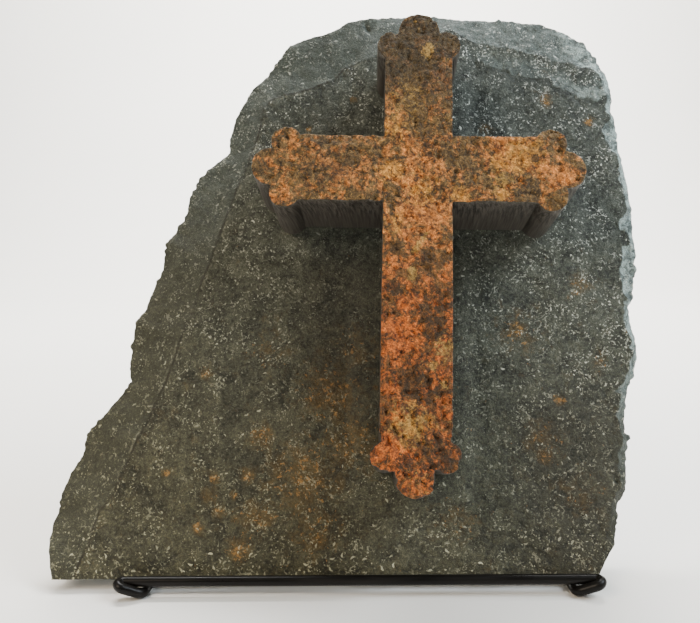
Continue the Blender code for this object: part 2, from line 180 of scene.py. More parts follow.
RIM_STEP = 0.0011
rim = slab_edge(RIM_STEP)
print("points round the slab:", len(rim))

# %% [markdown]
# When the slab was snapped, a band inside the edge sheared off at a slope. The crease where it meets
# the level face was measured the same way: it climbs the left side, passes behind the head and ends at the
# right shoulder. Down the right side the band is narrow and breaks into small scallops. The signed
# distance to the crease, plus on the face and minus on the band, then shapes and colours both.

# %% The crease inside the edge
CREASE = [
    (-57.2, -3.0), (-56.1, 1.4), (-54.6, 5.5), (-53.2, 10.7), (-51.2, 13.3), (-48.6, 19.7),
    (-44.8, 28.0), (-42.8, 32.4), (-40.8, 39.0), (-38.2, 45.4), (-35.0, 54.9), (-32.7, 61.8),
    (-30.6, 67.6), (-27.2, 77.2), (-26.6, 82.1), (-24.6, 83.8), (-19.9, 84.7), (-16.5, 85.8),
    (-13.6, 87.0), (-11.8, 89.3), (-6.1, 91.3), (2.0, 96.0), (7.8, 96.2), (11.0, 94.5),
    (15.0, 93.1), (19.1, 92.2), (22.8, 91.6), (27.2, 90.2), (29.8, 89.3), (32.7, 88.7), (34.4, 87.4),
]
SIDE_BAND = 1.3           # width of the narrow band down the right side, in the same hundredths
LEAST_BAND = 0.0030
WAVER, RIGHT_WAVER = 0.0005, 0.0017       # how far the crease wavers, and how much more on the right
SCALLOP, SCALLOP_SCALE = 0.0042, 60.0     # how much wider the scallops make the band, and how many


def line_reach(points, line):
    """Distance from each point to a line of corners."""
    start, run = line[:-1], np.diff(line, axis=0)
    length = (run ** 2).sum(axis=1)
    reach = np.empty(len(points))
    for part in np.array_split(np.arange(len(points)), max(1, len(points) // 1500)):
        away = points[part][:, None, :] - start[None]
        mix = np.clip((away * run).sum(axis=2) / length, 0.0, 1.0)
        reach[part] = np.linalg.norm(away - run * mix[:, :, None], axis=2).min(axis=1)
    return reach


def inside_ring(points, ring):
    """Which points lie inside a closed ring, both as rows of across and up."""
    hit = np.zeros(len(points), dtype=bool)
    for (ax, az), (bx, bz) in zip(ring, np.roll(ring, -1, axis=0)):
        if az == bz:
            continue
        crosses = (az > points[:, 1]) != (bz > points[:, 1])
        at = ax + (points[:, 1] - az) / (bz - az) * (bx - ax)
        hit ^= crosses & (points[:, 0] < at)
    return hit


right_side = [(x - SIDE_BAND, z) for x, z in OUTLINE if x > 0.0 and z < 84.0]
plateau = np.array(CREASE + right_side + [(26.0, -3.0)]) * SLAB_HEIGHT / 100.0
plateau_line = plateau[:-1]
COARSE_STEP = 0.003
coarse_edge = slab_edge(COARSE_STEP)
broken_line = coarse_edge[coarse_edge[:, 2] == 0.0, :2]


def crease_distance(points, on_rim):
    """Distance inside the broken edge, and signed distance inside the crease."""
    x, z = points.T
    reach = np.zeros(len(points)) if on_rim else line_reach(points, broken_line)
    side = np.where(inside_ring(points, plateau), 1.0, -1.0)
    crease = line_reach(points, plateau_line) * side
    crease += (WAVER + RIGHT_WAVER * ramp(x, 0.01, 0.06)) * fractal(points, 85.0, 31.0, 4)
    down_right = ramp(x, 0.104, 0.112) * ramp(z, 0.290, 0.278)
    crease -= SCALLOP * down_right * smooth(2.6 * fractal(points, SCALLOP_SCALE, 41.0, 3))
    return reach, np.minimum(crease, reach - LEAST_BAND)


half_way_up = broken_line[60:61]
print("band's width at mid height on the left, in mm:",
      np.round(-1000.0 * crease_distance(half_way_up, True)[1], 1))

# %% [markdown]
# The height of the split face is a sum of plain parts: the band that falls away to the broken edge, a
# second ledge at the upper right, broad hollows, thin terraces where the cleavage jumped from one
# layer to the next, a crack along the crease, a nick in the top edge and small pits. Every part only
# goes back from the foremost plane, so the face stays behind the CAD face, and nearly all of them die
# away under the cross, where the bed is flat.

# %% The slab's split face
BAND_DROP, BAND_SLOPE = 0.0022, 0.27
WIDEST_SIDE, WIDEST_TOP = 0.032, 0.010    # widths beyond which the band falls no further
FACE_RELIEF, LUMP_SCALE = 0.0012, 38.0
TERRACES, TERRACE_STEP = 7.0, 0.00024
PIT_DEPTH, GRIT_DEPTH, GRAVEL_DEPTH = 0.0010, 0.0004, 0.0005
WAVE_DEPTH = 0.0011                       # soft waves, in the broken band alone
CRACK_DEPTH, CRACK_PLACE, CRACK_WIDTH = 0.00028, 0.0007, 0.0008
TOE_SWELL, TOE_HEIGHT = 0.0040, 0.040
LEDGE_LINE = ((0.030, 0.316), (0.044, 0.310), (0.062, 0.303), (0.075, 0.300), (0.087, 0.298),
              (0.097, 0.290), (0.105, 0.286), (0.122, 0.287))
LEDGE_DROP, LEDGE_WIDTH = 0.0013, 0.009
RIDGE_FROM, RIDGE_TO = 0.030, 0.055       # the ridge rises between these places across
UNDERCUT_DEPTH, UNDERCUT_PLACE, UNDERCUT_WIDTH = 0.0003, -0.0008, 0.0012
NICK = (-0.0265, 0.3385)
NICK_DEPTH, NICK_WIDTH, NICK_HEIGHT, NICK_SLANT = 0.0022, 0.0011, 0.0042, 0.35
CROSS_BAR = 0.038
ARM_REACH, HEAD_REACH, FOOT_REACH = 0.0804, 0.0822, 0.1650
END_LOBE, SIDE_LOBE, SIDE_LOBE_OUT, SIDE_LOBE_BACK = 0.2894, 0.2284, 0.3934, 0.2047
CROSS_TURN = math.radians(1.9)
CROSS_UP = 0.636 * SLAB_HEIGHT
BED_MARGIN, BED_FADE = 0.004, 0.012


def bed_distance(points):
    """Distance from the cross, taken as two plain bars, measured on the slab."""
    c, s = math.cos(CROSS_TURN), math.sin(CROSS_TURN)
    x, z = points[:, 0], points[:, 1] - CROSS_UP
    x, z = c * x - s * z, s * x + c * z
    half = CROSS_BAR * (SIDE_LOBE_OUT + SIDE_LOBE)
    tip = CROSS_BAR * END_LOBE

    def outside(low_x, high_x, low_z, high_z):
        return np.hypot(np.maximum(0.0, np.maximum(low_x - x, x - high_x)),
                        np.maximum(0.0, np.maximum(low_z - z, z - high_z)))

    arms = outside(-ARM_REACH - tip, ARM_REACH + tip, -half, half)
    post = outside(-half, half, -FOOT_REACH - tip, HEAD_REACH + tip)
    return np.minimum(arms, post)


def ledge_distance(points):
    """Height above the second ridge at the upper right, and how much of a ridge there is."""
    x, z = points.T
    line_x, line_z = np.array(LEDGE_LINE).T
    height = z - np.interp(x, line_x, line_z) + 0.0040 * fractal(points, 80.0, 51.0, 4)
    return height, ramp(x, RIDGE_FROM, RIDGE_TO)


def face_form(points, on_rim=False):
    """Depth of the face behind its datum, with the marks that the stone's colours use."""
    x, z = points.T
    reach, crease = crease_distance(points, on_rim)
    ledge, ridge = ledge_distance(points)
    above_toe = ramp(z, 0.0, TOE_HEIGHT)
    near_top = ramp(z, 0.300, 0.330)
    on_band = ramp(crease, 0.0, -0.004)
    on_left = ramp(x, 0.0, -0.03)
    free = smooth((bed_distance(points) - BED_MARGIN) / BED_FADE)

    width = reach - crease
    share = np.clip(-crease / width, 0.0, 1.0)
    widest = WIDEST_SIDE + (WIDEST_TOP - WIDEST_SIDE) * ramp(z, 0.24, 0.30)
    fall = (BAND_DROP + BAND_SLOPE * np.minimum(width, widest)) * share * above_toe
    hollow = FACE_RELIEF * lumps(points, LUMP_SCALE, 1.0)
    terrace = TERRACE_STEP * layered(points, TERRACES, 26.0, 61.0, 0.16)
    step = LEDGE_DROP * ridge * ramp(ledge, 0.0, LEDGE_WIDTH)
    pits = PIT_DEPTH * np.clip(fractal(points, 300.0, 71.0, 3) - 0.10, 0.0, 1.0)
    grit = GRIT_DEPTH * lumps(points, 480.0, 81.0, 2) + GRAVEL_DEPTH * lumps(points, 130.0, 91.0, 3)
    wave = WAVE_DEPTH * lumps(points, 95.0, 97.0, 4) * on_band
    crack = CRACK_DEPTH * bell(crease, CRACK_PLACE, CRACK_WIDTH) * on_left
    under = UNDERCUT_DEPTH * ridge * bell(ledge, UNDERCUT_PLACE, UNDERCUT_WIDTH)
    slanted = x - NICK[0] + NICK_SLANT * (z - NICK[1])
    nick = NICK_DEPTH * bell(slanted, 0.0, NICK_WIDTH) * bell(z, NICK[1], NICK_HEIGHT)

    rough = (1.0 - 0.4 * on_band * on_left) * (pits + grit) + wave
    broad = (hollow + terrace) * (1.0 - 0.75 * near_top)
    depth = fall * (1.0 - 0.25 * near_top) + free * (broad + step + rough + crack + under) + nick
    return depth - TOE_SWELL * (1.0 - above_toe), crease, ledge


sample = face_form(np.array([(-0.18, 0.02), (0.0, 0.05), (0.10, 0.32)]))[0]
print("face depths in mm:", np.round(1000.0 * sample, 2))

# %% [markdown]
# The broken walls were knapped from the front, so they slant in towards the back, and they break in
# thin layers, one standing a little proud of the next. Rings of points go round the slab from the
# face to the back. Each ring is set in by a share that grows with its depth, plus a step for its
# layer. The base was sawn, so its points stay on one level plane.

# %% The slab's walls
BELLY_AT, BELLY_INSET = 0.45, 0.0022
BACK_INSET = 0.0065
CORNER_BLEND = 0.045
KNAP_SCALE = 70.0
LAYER, LAYER_STEP = 0.0021, 0.0011        # thickness of the layers in the break, and how far they step
WALL_GRAIN = 0.0005
RIM_WEAR, WALL_WEAR = 0.0006, 0.0001
RIM_SHARE = 0.04                          # share of the wall that its closest rings take
WALL_SHARES = (0.0, 0.012, RIM_SHARE) + tuple(RIM_SHARE + 0.96 * n / 17 for n in range(1, 18))
SMOOTHED_OVER = 14                        # points on each side over which the wall's direction is smoothed


def inward(edge, reach):
    """Smoothed directions into the slab at each point of its edge."""
    along = np.roll(edge[:, :2], -reach, axis=0) - np.roll(edge[:, :2], reach, axis=0)
    along /= np.linalg.norm(along, axis=1)[:, None]
    return np.column_stack((along[:, 1], -along[:, 0]))


def knapped(flat, most, seed):
    """How far each point of the edge is set in, unevenly, by knapping."""
    return most * (0.45 + 1.1 * lumps(flat, KNAP_SCALE, seed))


def slab_rings(edge, front_depth):
    """Rings of across, depth and up for each share of the wall."""
    normals = inward(edge, SMOOTHED_OVER)
    on_base = edge[:, 2] == 1.0
    flat = edge[:, :2]
    left, right = edge[0, 0], edge[on_base, 0].max()
    middle = (left + right) / 2.0
    belly, back = knapped(flat, BELLY_INSET, 5.0), knapped(flat, BACK_INSET, 9.0)
    rings = []
    for share in WALL_SHARES:
        depth = front_depth + (SLAB_THICKNESS - front_depth) * share
        inset = np.interp(share, (0.0, BELLY_AT, 1.0), (0.0, 1.0, 0.0)) * belly
        inset += np.interp(share, (0.0, BELLY_AT, 1.0), (0.0, 0.0, 1.0)) * back
        layer = math.floor(SLAB_THICKNESS * share / LAYER)
        inside_wall = math.sin(math.pi * min(1.0, share * 1.02))
        inset += LAYER_STEP * inside_wall * lumps(flat, 95.0, 100.0 + 3.7 * layer)
        inset += WALL_GRAIN * inside_wall * lumps(flat, 420.0, 140.0 + 40.0 * share, 2)
        inset += (WALL_WEAR if share else RIM_WEAR) * lumps(flat, 300.0, 201.0, 2)
        x, z = (flat + normals * inset[:, None]).T
        level = np.maximum(0.0, depth) * math.tan(LEAN)
        z = z + level * np.clip(1.0 - z / CORNER_BLEND, 0.0, None)
        narrower = 1.0 - 2.0 * BELLY_INSET * share / (right - left)
        x = np.where(on_base, middle + (edge[:, 0] - middle) * narrower, x)
        z = np.where(on_base, level, np.maximum(z, level))
        rings.append(np.column_stack((x, depth, z)))
    return rings


rim_depth, rim_crease, rim_ledge = face_form(rim[:, :2], on_rim=True)
rings = slab_rings(rim, rim_depth)
print("rings round the wall:", len(rings))

# %% [markdown]
# The face and the back are filled with triangles that run between the outline and a loose grid of
# points inside it. A constrained Delaunay triangulation does this: it keeps every edge of the
# outline and makes even triangles, which a grid cut by the outline wouldn't.

# %% Fill an outline
ROW_SHARE = 0.866         # rows of a triangular grid lie this much closer than its points
LOOSE = 0.22              # how far a point may stray, as a share of the grid's step


def grid_inside(ring, step, margin, seed):
    """A loose triangular grid of points inside the ring, this far from its edge."""
    low, high = ring.min(axis=0), ring.max(axis=0)
    columns = np.arange(low[0], high[0], step)
    rows = np.arange(low[1], high[1], step * ROW_SHARE)
    x, z = np.meshgrid(columns, rows)
    x[1::2] += step / 2.0
    points = np.column_stack((x.ravel(), z.ravel()))
    points += np.random.default_rng(seed).uniform(-LOOSE, LOOSE, points.shape) * step
    points = points[inside_ring(points, ring)]
    return points[line_reach(points, np.vstack((ring, ring[:1]))) > margin]


def fill(ring, inner):
    """Triangles over the ring's points, then the inner points, as rows of three numbers."""
    flat = [Vector(point) for point in np.vstack((ring, inner))]
    edges = [(n, (n + 1) % len(ring)) for n in range(len(ring))]
    _, _, faces, sources, _, _ = delaunay_2d_cdt(flat, edges, [], 1, 1e-7)
    return [[sources[corner][0] for corner in face] for face in faces]


FACE_STEP = 0.00155
CREASE_STEP = 0.0008      # closer points beside the crease and the ledge
CREASE_REACH = 0.0022
BACK_STEP = 0.0035


def near_a_line(points):
    """Which points lie beside the crease or the ledge, where the form turns sharply."""
    ledge, ridge = ledge_distance(points)
    beside_ledge = (np.abs(ledge) < CREASE_REACH) & (ridge > 0.1)
    return (np.abs(crease_distance(points, False)[1]) < CREASE_REACH) | beside_ledge


face_ring = rings[0][:, [0, 2]]
coarse = grid_inside(face_ring, FACE_STEP, 0.8 * FACE_STEP, 11)
close = grid_inside(face_ring, CREASE_STEP, CREASE_STEP, 13)
face_grid = np.vstack((coarse[~near_a_line(coarse)], close[near_a_line(close)]))
back_grid = grid_inside(rings[-1][:, [0, 2]], BACK_STEP, 0.8 * BACK_STEP, 12)
print("points in the face:", len(face_grid), "and in the back:", len(back_grid))

# %% [markdown]
# A mesh piece is put together from its points and faces. Numbers that the materials need, such as the
# distance to a crease, are stored on the points as attributes, so that a line of colour follows the
# form. The normals are worked out again at the end, so that every face points outwards.

# %% Put a mesh together


def add_marks(mesh, marks):
    """Store named numbers on a mesh's points, for its material to read."""
    for title, values in marks.items():
        layer = mesh.attributes.new(title, "FLOAT", "POINT")
        layer.data.foreach_set("value", np.asarray(values, dtype=np.float32))


def put(name, data):
    """An object in the scene for a mesh, a lamp or a camera."""
    made = bpy.data.objects.new(name, data)
    bpy.context.scene.collection.objects.link(made)
    return made


def make_piece(name, points, faces, marks, sharp_angle):
    """A mesh object at the origin, from places in the scene, faces and named marks on the points."""
    mesh = bpy.data.meshes.new(name)
    mesh.from_pydata(points.tolist(), [], faces)
    add_marks(mesh, marks)
    bm = bmesh.new()
    bm.from_mesh(mesh)
    bmesh.ops.recalc_face_normals(bm, faces=bm.faces)
    bm.to_mesh(mesh)
    bm.free()
    mesh.shade_smooth()
    mesh.set_sharp_from_angle(angle=math.radians(sharp_angle))
    return put(name, mesh)


def wall_faces(ring_count, count):
    """Quads between each ring of points and the next, from the first ring on."""
    return [
        (low + n, low + (n + 1) % count, low + count + (n + 1) % count, low + count + n)
        for low in range(0, (ring_count - 1) * count, count) for n in range(count)
    ]


def cap_faces(ring, inner, ring_start, inner_start):
    """Triangles over a ring and the points inside it, with the numbers they have in the mesh."""
    return [
        [n + ring_start if n < len(ring) else n - len(ring) + inner_start for n in face]
        for face in fill(ring, inner)
    ]


def triangle_count(piece):
    return sum(len(face.vertices) - 2 for face in piece.data.polygons)


def keep_in_box(points, node):
    """Points drawn in by the hair that fine chips may stand outside the CAD node's box."""
    low, high = (np.array(corner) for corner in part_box(node))
    middle = (low + high) / 2.0
    most = np.abs(points - middle).max(axis=0)
    share = np.minimum(1.0, (high - middle) / most)
    print(f"{node} kept in its box by", np.round(share, 4))
    return middle + (points - middle) * share


# %% Build the slab
BACK_GRAIN = 0.0004
back_depth = SLAB_THICKNESS - BACK_GRAIN + BACK_GRAIN * lumps(back_grid, 60.0, 301.0)
face_depth, face_crease, face_ledge = face_form(face_grid)
slab_rows = np.vstack(rings + [
    np.column_stack((face_grid[:, 0], face_depth, face_grid[:, 1])),
    np.column_stack((back_grid[:, 0], back_depth, back_grid[:, 1])),
])
rim_count, ring_count = len(rim), len(rings)
face_start = rim_count * ring_count
back_start = face_start + len(face_grid)
slab_faces = wall_faces(ring_count, rim_count)
slab_faces += cap_faces(face_ring, face_grid, 0, face_start)
slab_faces += cap_faces(rings[-1][:, [0, 2]], back_grid, (ring_count - 1) * rim_count, back_start)

BROKEN_BACK = 0.3         # the back counts as broken stone in part
FAR = 0.03                # distances to the crease and the ledge are kept up to this


def slab_form_marks():
    """Distances to the crease and the ledge, and 1 on the broken walls, for every point."""
    crease = np.concatenate([rim_crease] * ring_count + [face_crease, np.full(len(back_grid), 0.02)])
    ledge = np.concatenate([rim_ledge] * ring_count + [face_ledge, np.full(len(back_grid), -0.02)])
    wall = np.zeros(len(slab_rows))
    wall[:face_start] = np.repeat(smooth(np.array(WALL_SHARES) / RIM_SHARE), rim_count)
    wall[back_start:] = BROKEN_BACK
    return {"crease": np.clip(crease, -FAR, FAR), "ledge": np.clip(ledge, -FAR, FAR), "wall": wall}


slab_points = keep_in_box(from_slab(slab_rows), "backing_slab")
slab = make_piece("slate_slab", slab_points, slab_faces, slab_form_marks(), sharp_angle=42.0)
print("slab triangles:", triangle_count(slab))

# %% [markdown]
# The cross has the old bud form: a round lobe at the tip of every arm and a smaller one at each side.
# Arcs give its outline, in the proportions of the CAD solid but with finer steps. The edge of the
# face has crumbled unevenly, so the ring at the face is set in by a width that wanders, and at the
# foot small bites reach further down the side. Below them the cut sides stay straight, with the fine
# ripple that a water jet leaves.

# %% The outline of the cross
LOBE_SEGMENTS = 84
HEAD_LOBE = 0.315         # the lobe on the head is a little larger than the others
FOOT_LOBE_BACK = 0.265    # and the side lobes of the foot sit further back
CROSS_RIM_STEP = 0.0009


def lobe_arc(centre, radius, start, end):
    """Points along an arc, without its last one."""
    steps = max(2, round((end - start) / math.tau * LOBE_SEGMENTS))
    angles = start + (end - start) * np.arange(steps) / steps
    return centre + radius * np.column_stack((np.cos(angles), np.sin(angles)))


def bud_end(reach, end_lobe, back):
    """One bud end that points along +X, from the bar's lower edge round to its upper edge."""
    half = CROSS_BAR / 2.0
    end_radius = CROSS_BAR * end_lobe
    side_radius = CROSS_BAR * SIDE_LOBE
    end_centre = np.array((reach, 0.0))
    side_centre = np.array((reach - CROSS_BAR * back, -CROSS_BAR * SIDE_LOBE_OUT))
    between = end_centre - side_centre
    span = np.linalg.norm(between)
    start = math.pi + math.asin((half + side_centre[1]) / side_radius)
    spread = math.acos((side_radius ** 2 + span ** 2 - end_radius ** 2) / (2.0 * side_radius * span))
    leave = math.atan2(between[1], between[0]) - spread
    notch = side_centre + side_radius * np.array((math.cos(leave), math.sin(leave)))
    meet = math.atan2(notch[1] - end_centre[1], notch[0] - end_centre[0])
    lower = lobe_arc(side_centre, side_radius, start, leave + math.tau)
    middle = lobe_arc(end_centre, end_radius, meet, -meet)
    upper = lower[::-1] * (1.0, -1.0)
    return np.vstack((lower, middle, [notch * (1.0, -1.0)], upper))


def cross_outline():
    """The outline of the cross, counter-clockwise seen from the front, at a fine spacing."""
    half = CROSS_BAR / 2.0
    grown = CROSS_BAR * (HEAD_LOBE - END_LOBE)
    ends = (
        (ARM_REACH, END_LOBE, SIDE_LOBE_BACK, 0.0),
        (HEAD_REACH - grown, HEAD_LOBE, SIDE_LOBE_BACK, 90.0),
        (ARM_REACH, END_LOBE, SIDE_LOBE_BACK, 180.0),
        (FOOT_REACH, END_LOBE, FOOT_LOBE_BACK, 270.0),
    )
    corners = []
    for reach, end_lobe, back, angle in ends:
        c, s = math.cos(math.radians(angle)), math.sin(math.radians(angle))
        turn = np.array(((c, s), (-s, c)))
        corners.append(np.vstack((bud_end(reach, end_lobe, back), [(half, half)])) @ turn)
    corners = np.vstack(corners)
    points = []
    for start, end in zip(corners, np.roll(corners, -1, axis=0)):
        steps = max(1, round(np.linalg.norm(end - start) / CROSS_RIM_STEP))
        points += [start + (end - start) * number / steps for number in range(steps)]
    return np.array(points)


bud_outline = cross_outline()
print("points round the cross:", len(bud_outline))

# %% Build the cross
CROSS_THICKNESS = 0.0525
CROSS_RELIEF = 0.0022
SCALES, SCALE_STEP = 6.0, 0.0003
CROSS_PIT, CRUMB = 0.0026, 0.0009
FOOT_ROUGHER = 0.6        # how much rougher the foot is
CROSS_GAP = 0.0003
ARRIS = 0.0008
EDGE_BITE, FOOT_BITE = 0.0011, 0.0030     # how deep the edge of the face is bitten, and more at the foot
GNAWED, FOOT_GNAWED = 0.0001, 0.0015      # the same for the bites that reach down the side
BITE_DEPTH = 0.27         # share of the thickness over which those run out
RIPPLE, SWAY = 0.00016, 0.00022           # fine and slow waves in the cut sides
CROSS_STEP = 0.00085
EDGE_RINGS = ((1.0, 0.15), (0.55, 0.35), (0.2, 0.75), (0.0, 1.35))   # shares of the set-in and its drop
SIDE_RINGS = 12


def cross_form(points):
    """Depth of the rough face of the cross behind its foremost plane. The foot is the roughest part."""
    foot = ramp(points[:, 1], -0.09, -0.15)
    broad = CROSS_RELIEF * lumps(points, LUMP_SCALE, 17.0)
    scales = SCALE_STEP * layered(points, SCALES, 70.0, 117.0, 0.2)
    pits = CROSS_PIT * np.clip(fractal(points, 240.0, 127.0, 3) - 0.16, 0.0, 1.0)
    crumbs = CRUMB * lumps(points, 420.0, 137.0, 3)
    return broad + scales + (1.0 + FOOT_ROUGHER * foot) * (pits + crumbs)


def set_in(points, amounts, reach=2):
    """The outline moved inwards by an amount for each of its points."""
    along = np.roll(points, -reach, axis=0) - np.roll(points, reach, axis=0)
    along /= np.linalg.norm(along, axis=1)[:, None]
    return points + np.column_stack((-along[:, 1], along[:, 0])) * amounts[:, None]


low_end = ramp(bud_outline[:, 1], -0.120, -0.160)
bites = fractal(bud_outline, 150.0, 157.0, 3) - 0.18 + 0.16 * low_end
crumbled = ARRIS * (0.10 + 0.6 * lumps(bud_outline, 260.0, 147.0))
crumbled += (EDGE_BITE + FOOT_BITE * low_end) * np.clip(bites, 0.0, 1.0)
gnawed = (GNAWED + FOOT_GNAWED * low_end) * smooth(0.25 + 1.4 * fractal(bud_outline, 130.0, 187.0, 3))
ripple = RIPPLE * lumps(bud_outline, 900.0, 167.0, 1) + SWAY * lumps(bud_outline, 160.0, 177.0, 2)
side_line = set_in(bud_outline, ripple, 1)
bitten_line = set_in(side_line, gnawed)
face_line = set_in(bitten_line, crumbled)
inner = grid_inside(face_line, CROSS_STEP, 0.7 * CROSS_STEP, 21)

edge_depth = cross_form(face_line) - CROSS_THICKNESS
cross_rows = []
for mix, drop in EDGE_RINGS:
    line = bitten_line + (face_line - bitten_line) * mix
    cross_rows.append(np.column_stack((line[:, 0], edge_depth + crumbled * drop, line[:, 1])))
edge_depth = cross_rows[-1][:, 1]
for share in np.linspace(0.0, 1.0, SIDE_RINGS)[1:]:
    line = side_line + (bitten_line - side_line) * max(0.0, 1.0 - share / BITE_DEPTH)
    cross_rows.append(np.column_stack((line[:, 0], edge_depth * (1.0 - share), line[:, 1])))
side_rings = len(cross_rows)
cross_rows.append(np.column_stack((inner[:, 0], cross_form(inner) - CROSS_THICKNESS, inner[:, 1])))
upright = np.vstack(cross_rows)

count = len(bud_outline)
cross_faces = wall_faces(side_rings, count)
cross_faces += cap_faces(face_line, inner, 0, side_rings * count)
cross_faces += cap_faces(side_line, np.empty((0, 2)), (side_rings - 1) * count, 0)


def on_the_slab(rows):
    """Rows of the cross, turned a little and moved to its place on the slab's face."""
    c, s = math.cos(CROSS_TURN), math.sin(CROSS_TURN)
    x, y, z = rows.T
    return from_slab(np.column_stack((c * x + s * z, y - CROSS_GAP, c * z - s * x + CROSS_UP)))


def by_ring(first_rings, on_face):
    """A mark that has one value on each of the first rings, 0 on the rest of the side."""
    values = np.zeros(side_rings)
    values[:len(first_rings)] = first_rings
    return np.concatenate((np.repeat(values, count), np.full(len(inner), on_face)))


cross_marks = {
    "top_face": by_ring((1.0, 1.0, 0.7, 0.0), 1.0),
    "arris": by_ring((0.0, 0.0, 0.5, 1.0), 0.0),
}
cross_points = keep_in_box(on_the_slab(upright), "cross")
cross = make_piece("slate_cross", cross_points, cross_faces, cross_marks, sharp_angle=40.0)
print("cross triangles:", triangle_count(cross))

# %% [markdown]
# The stand is one rod that follows a path, so Geometry Nodes draw it. Ten points make the closed
# middle line, five on each side. Fillet Curve rounds every corner to its own bend radius, and Curve
# to Mesh sweeps a circle along it. The sizes are named inputs, so another rod or width needs no
# new drawing. A sweep by hand would also work, but would hide the rule in code.
#
# Node trees are full of sums, which are hard to read as calls. The class Number lets the script write
# them as plain sums instead: each sign adds the Math node that works it out.

# %% Helpers for node trees


class Number:
    """A number that a node gives. Sums of it add the Math nodes that work them out."""

    def __init__(self, tree, socket):
        self.tree = tree
        self.socket = socket

    def __add__(self, other):
        return calc(self.tree, "ADD", self, other)

    def __sub__(self, other):
        return calc(self.tree, "SUBTRACT", self, other)

    def __rsub__(self, other):
        return calc(self.tree, "SUBTRACT", other, self)

    def __mul__(self, other):
        return calc(self.tree, "MULTIPLY", self, other)

    def __truediv__(self, other):
        return calc(self.tree, "DIVIDE", self, other)

    def __abs__(self):
        return calc(self.tree, "ABSOLUTE", self)

    __radd__ = __add__
    __rmul__ = __mul__


def feed(tree, node, inputs):
    """Set or link inputs of a node, each by its name or number."""
    for key, value in inputs.items():
        value = value.socket if isinstance(value, Number) else value
        if isinstance(value, bpy.types.NodeSocket):
            tree.links.new(value, node.inputs[key])
        else:
            node.inputs[key].default_value = value


def add_node(tree, kind, inputs=None, **settings):
    """Add a node with its own settings and its inputs."""
    made = tree.nodes.new(kind)
    for title, value in settings.items():
        setattr(made, title, value)
    feed(tree, made, inputs or {})
    return made


def calc(tree, operation, first, second=0.0):
    """One Math node, as a number."""
    made = add_node(tree, "ShaderNodeMath", {0: first, 1: second}, operation=operation)
    return Number(tree, made.outputs[0])


def highest(first, *others):
    """The largest of several numbers."""
    for other in others:
        first = calc(first.tree, "MAXIMUM", first, other)
    return first


# %% The tree for a bent rod
ROD = 0.0056
STAND_PLACE = (FACE_FOOT[0] - 0.036, FACE_FOOT[1], 0.0)
REST_UP = 0.150           # how far up the slab's back the rest bar touches it
REST_GAP = 0.0003
rest_depth = SLAB_THICKNESS + REST_GAP + ROD / 2.0
STAND_SIZES = {
    "Rod": ROD, "Nose": 0.1328 - ROD / 2.0, "Fold": ROD + 0.0007, "Lip Y": -0.0050 - ROD / 2.0,
    "Lip Z": 0.0005 + 1.5 * ROD, "Runner": 0.117, "Foot Y": -0.0076 - ROD / 2.0, "Back Y": 0.118,
    "Rest": 0.092, "Rest Y": REST_UP * math.sin(LEAN) + rest_depth * math.cos(LEAN),
    "Rest Z": FACE_FOOT[2] + REST_UP * math.cos(LEAN) - rest_depth * math.sin(LEAN),
}
FOLD_BEND = 0.495 * STAND_SIZES["Fold"]
BENDS = (FOLD_BEND, FOLD_BEND, 0.005, 0.010, 0.014)
PATH_POINTS = 10


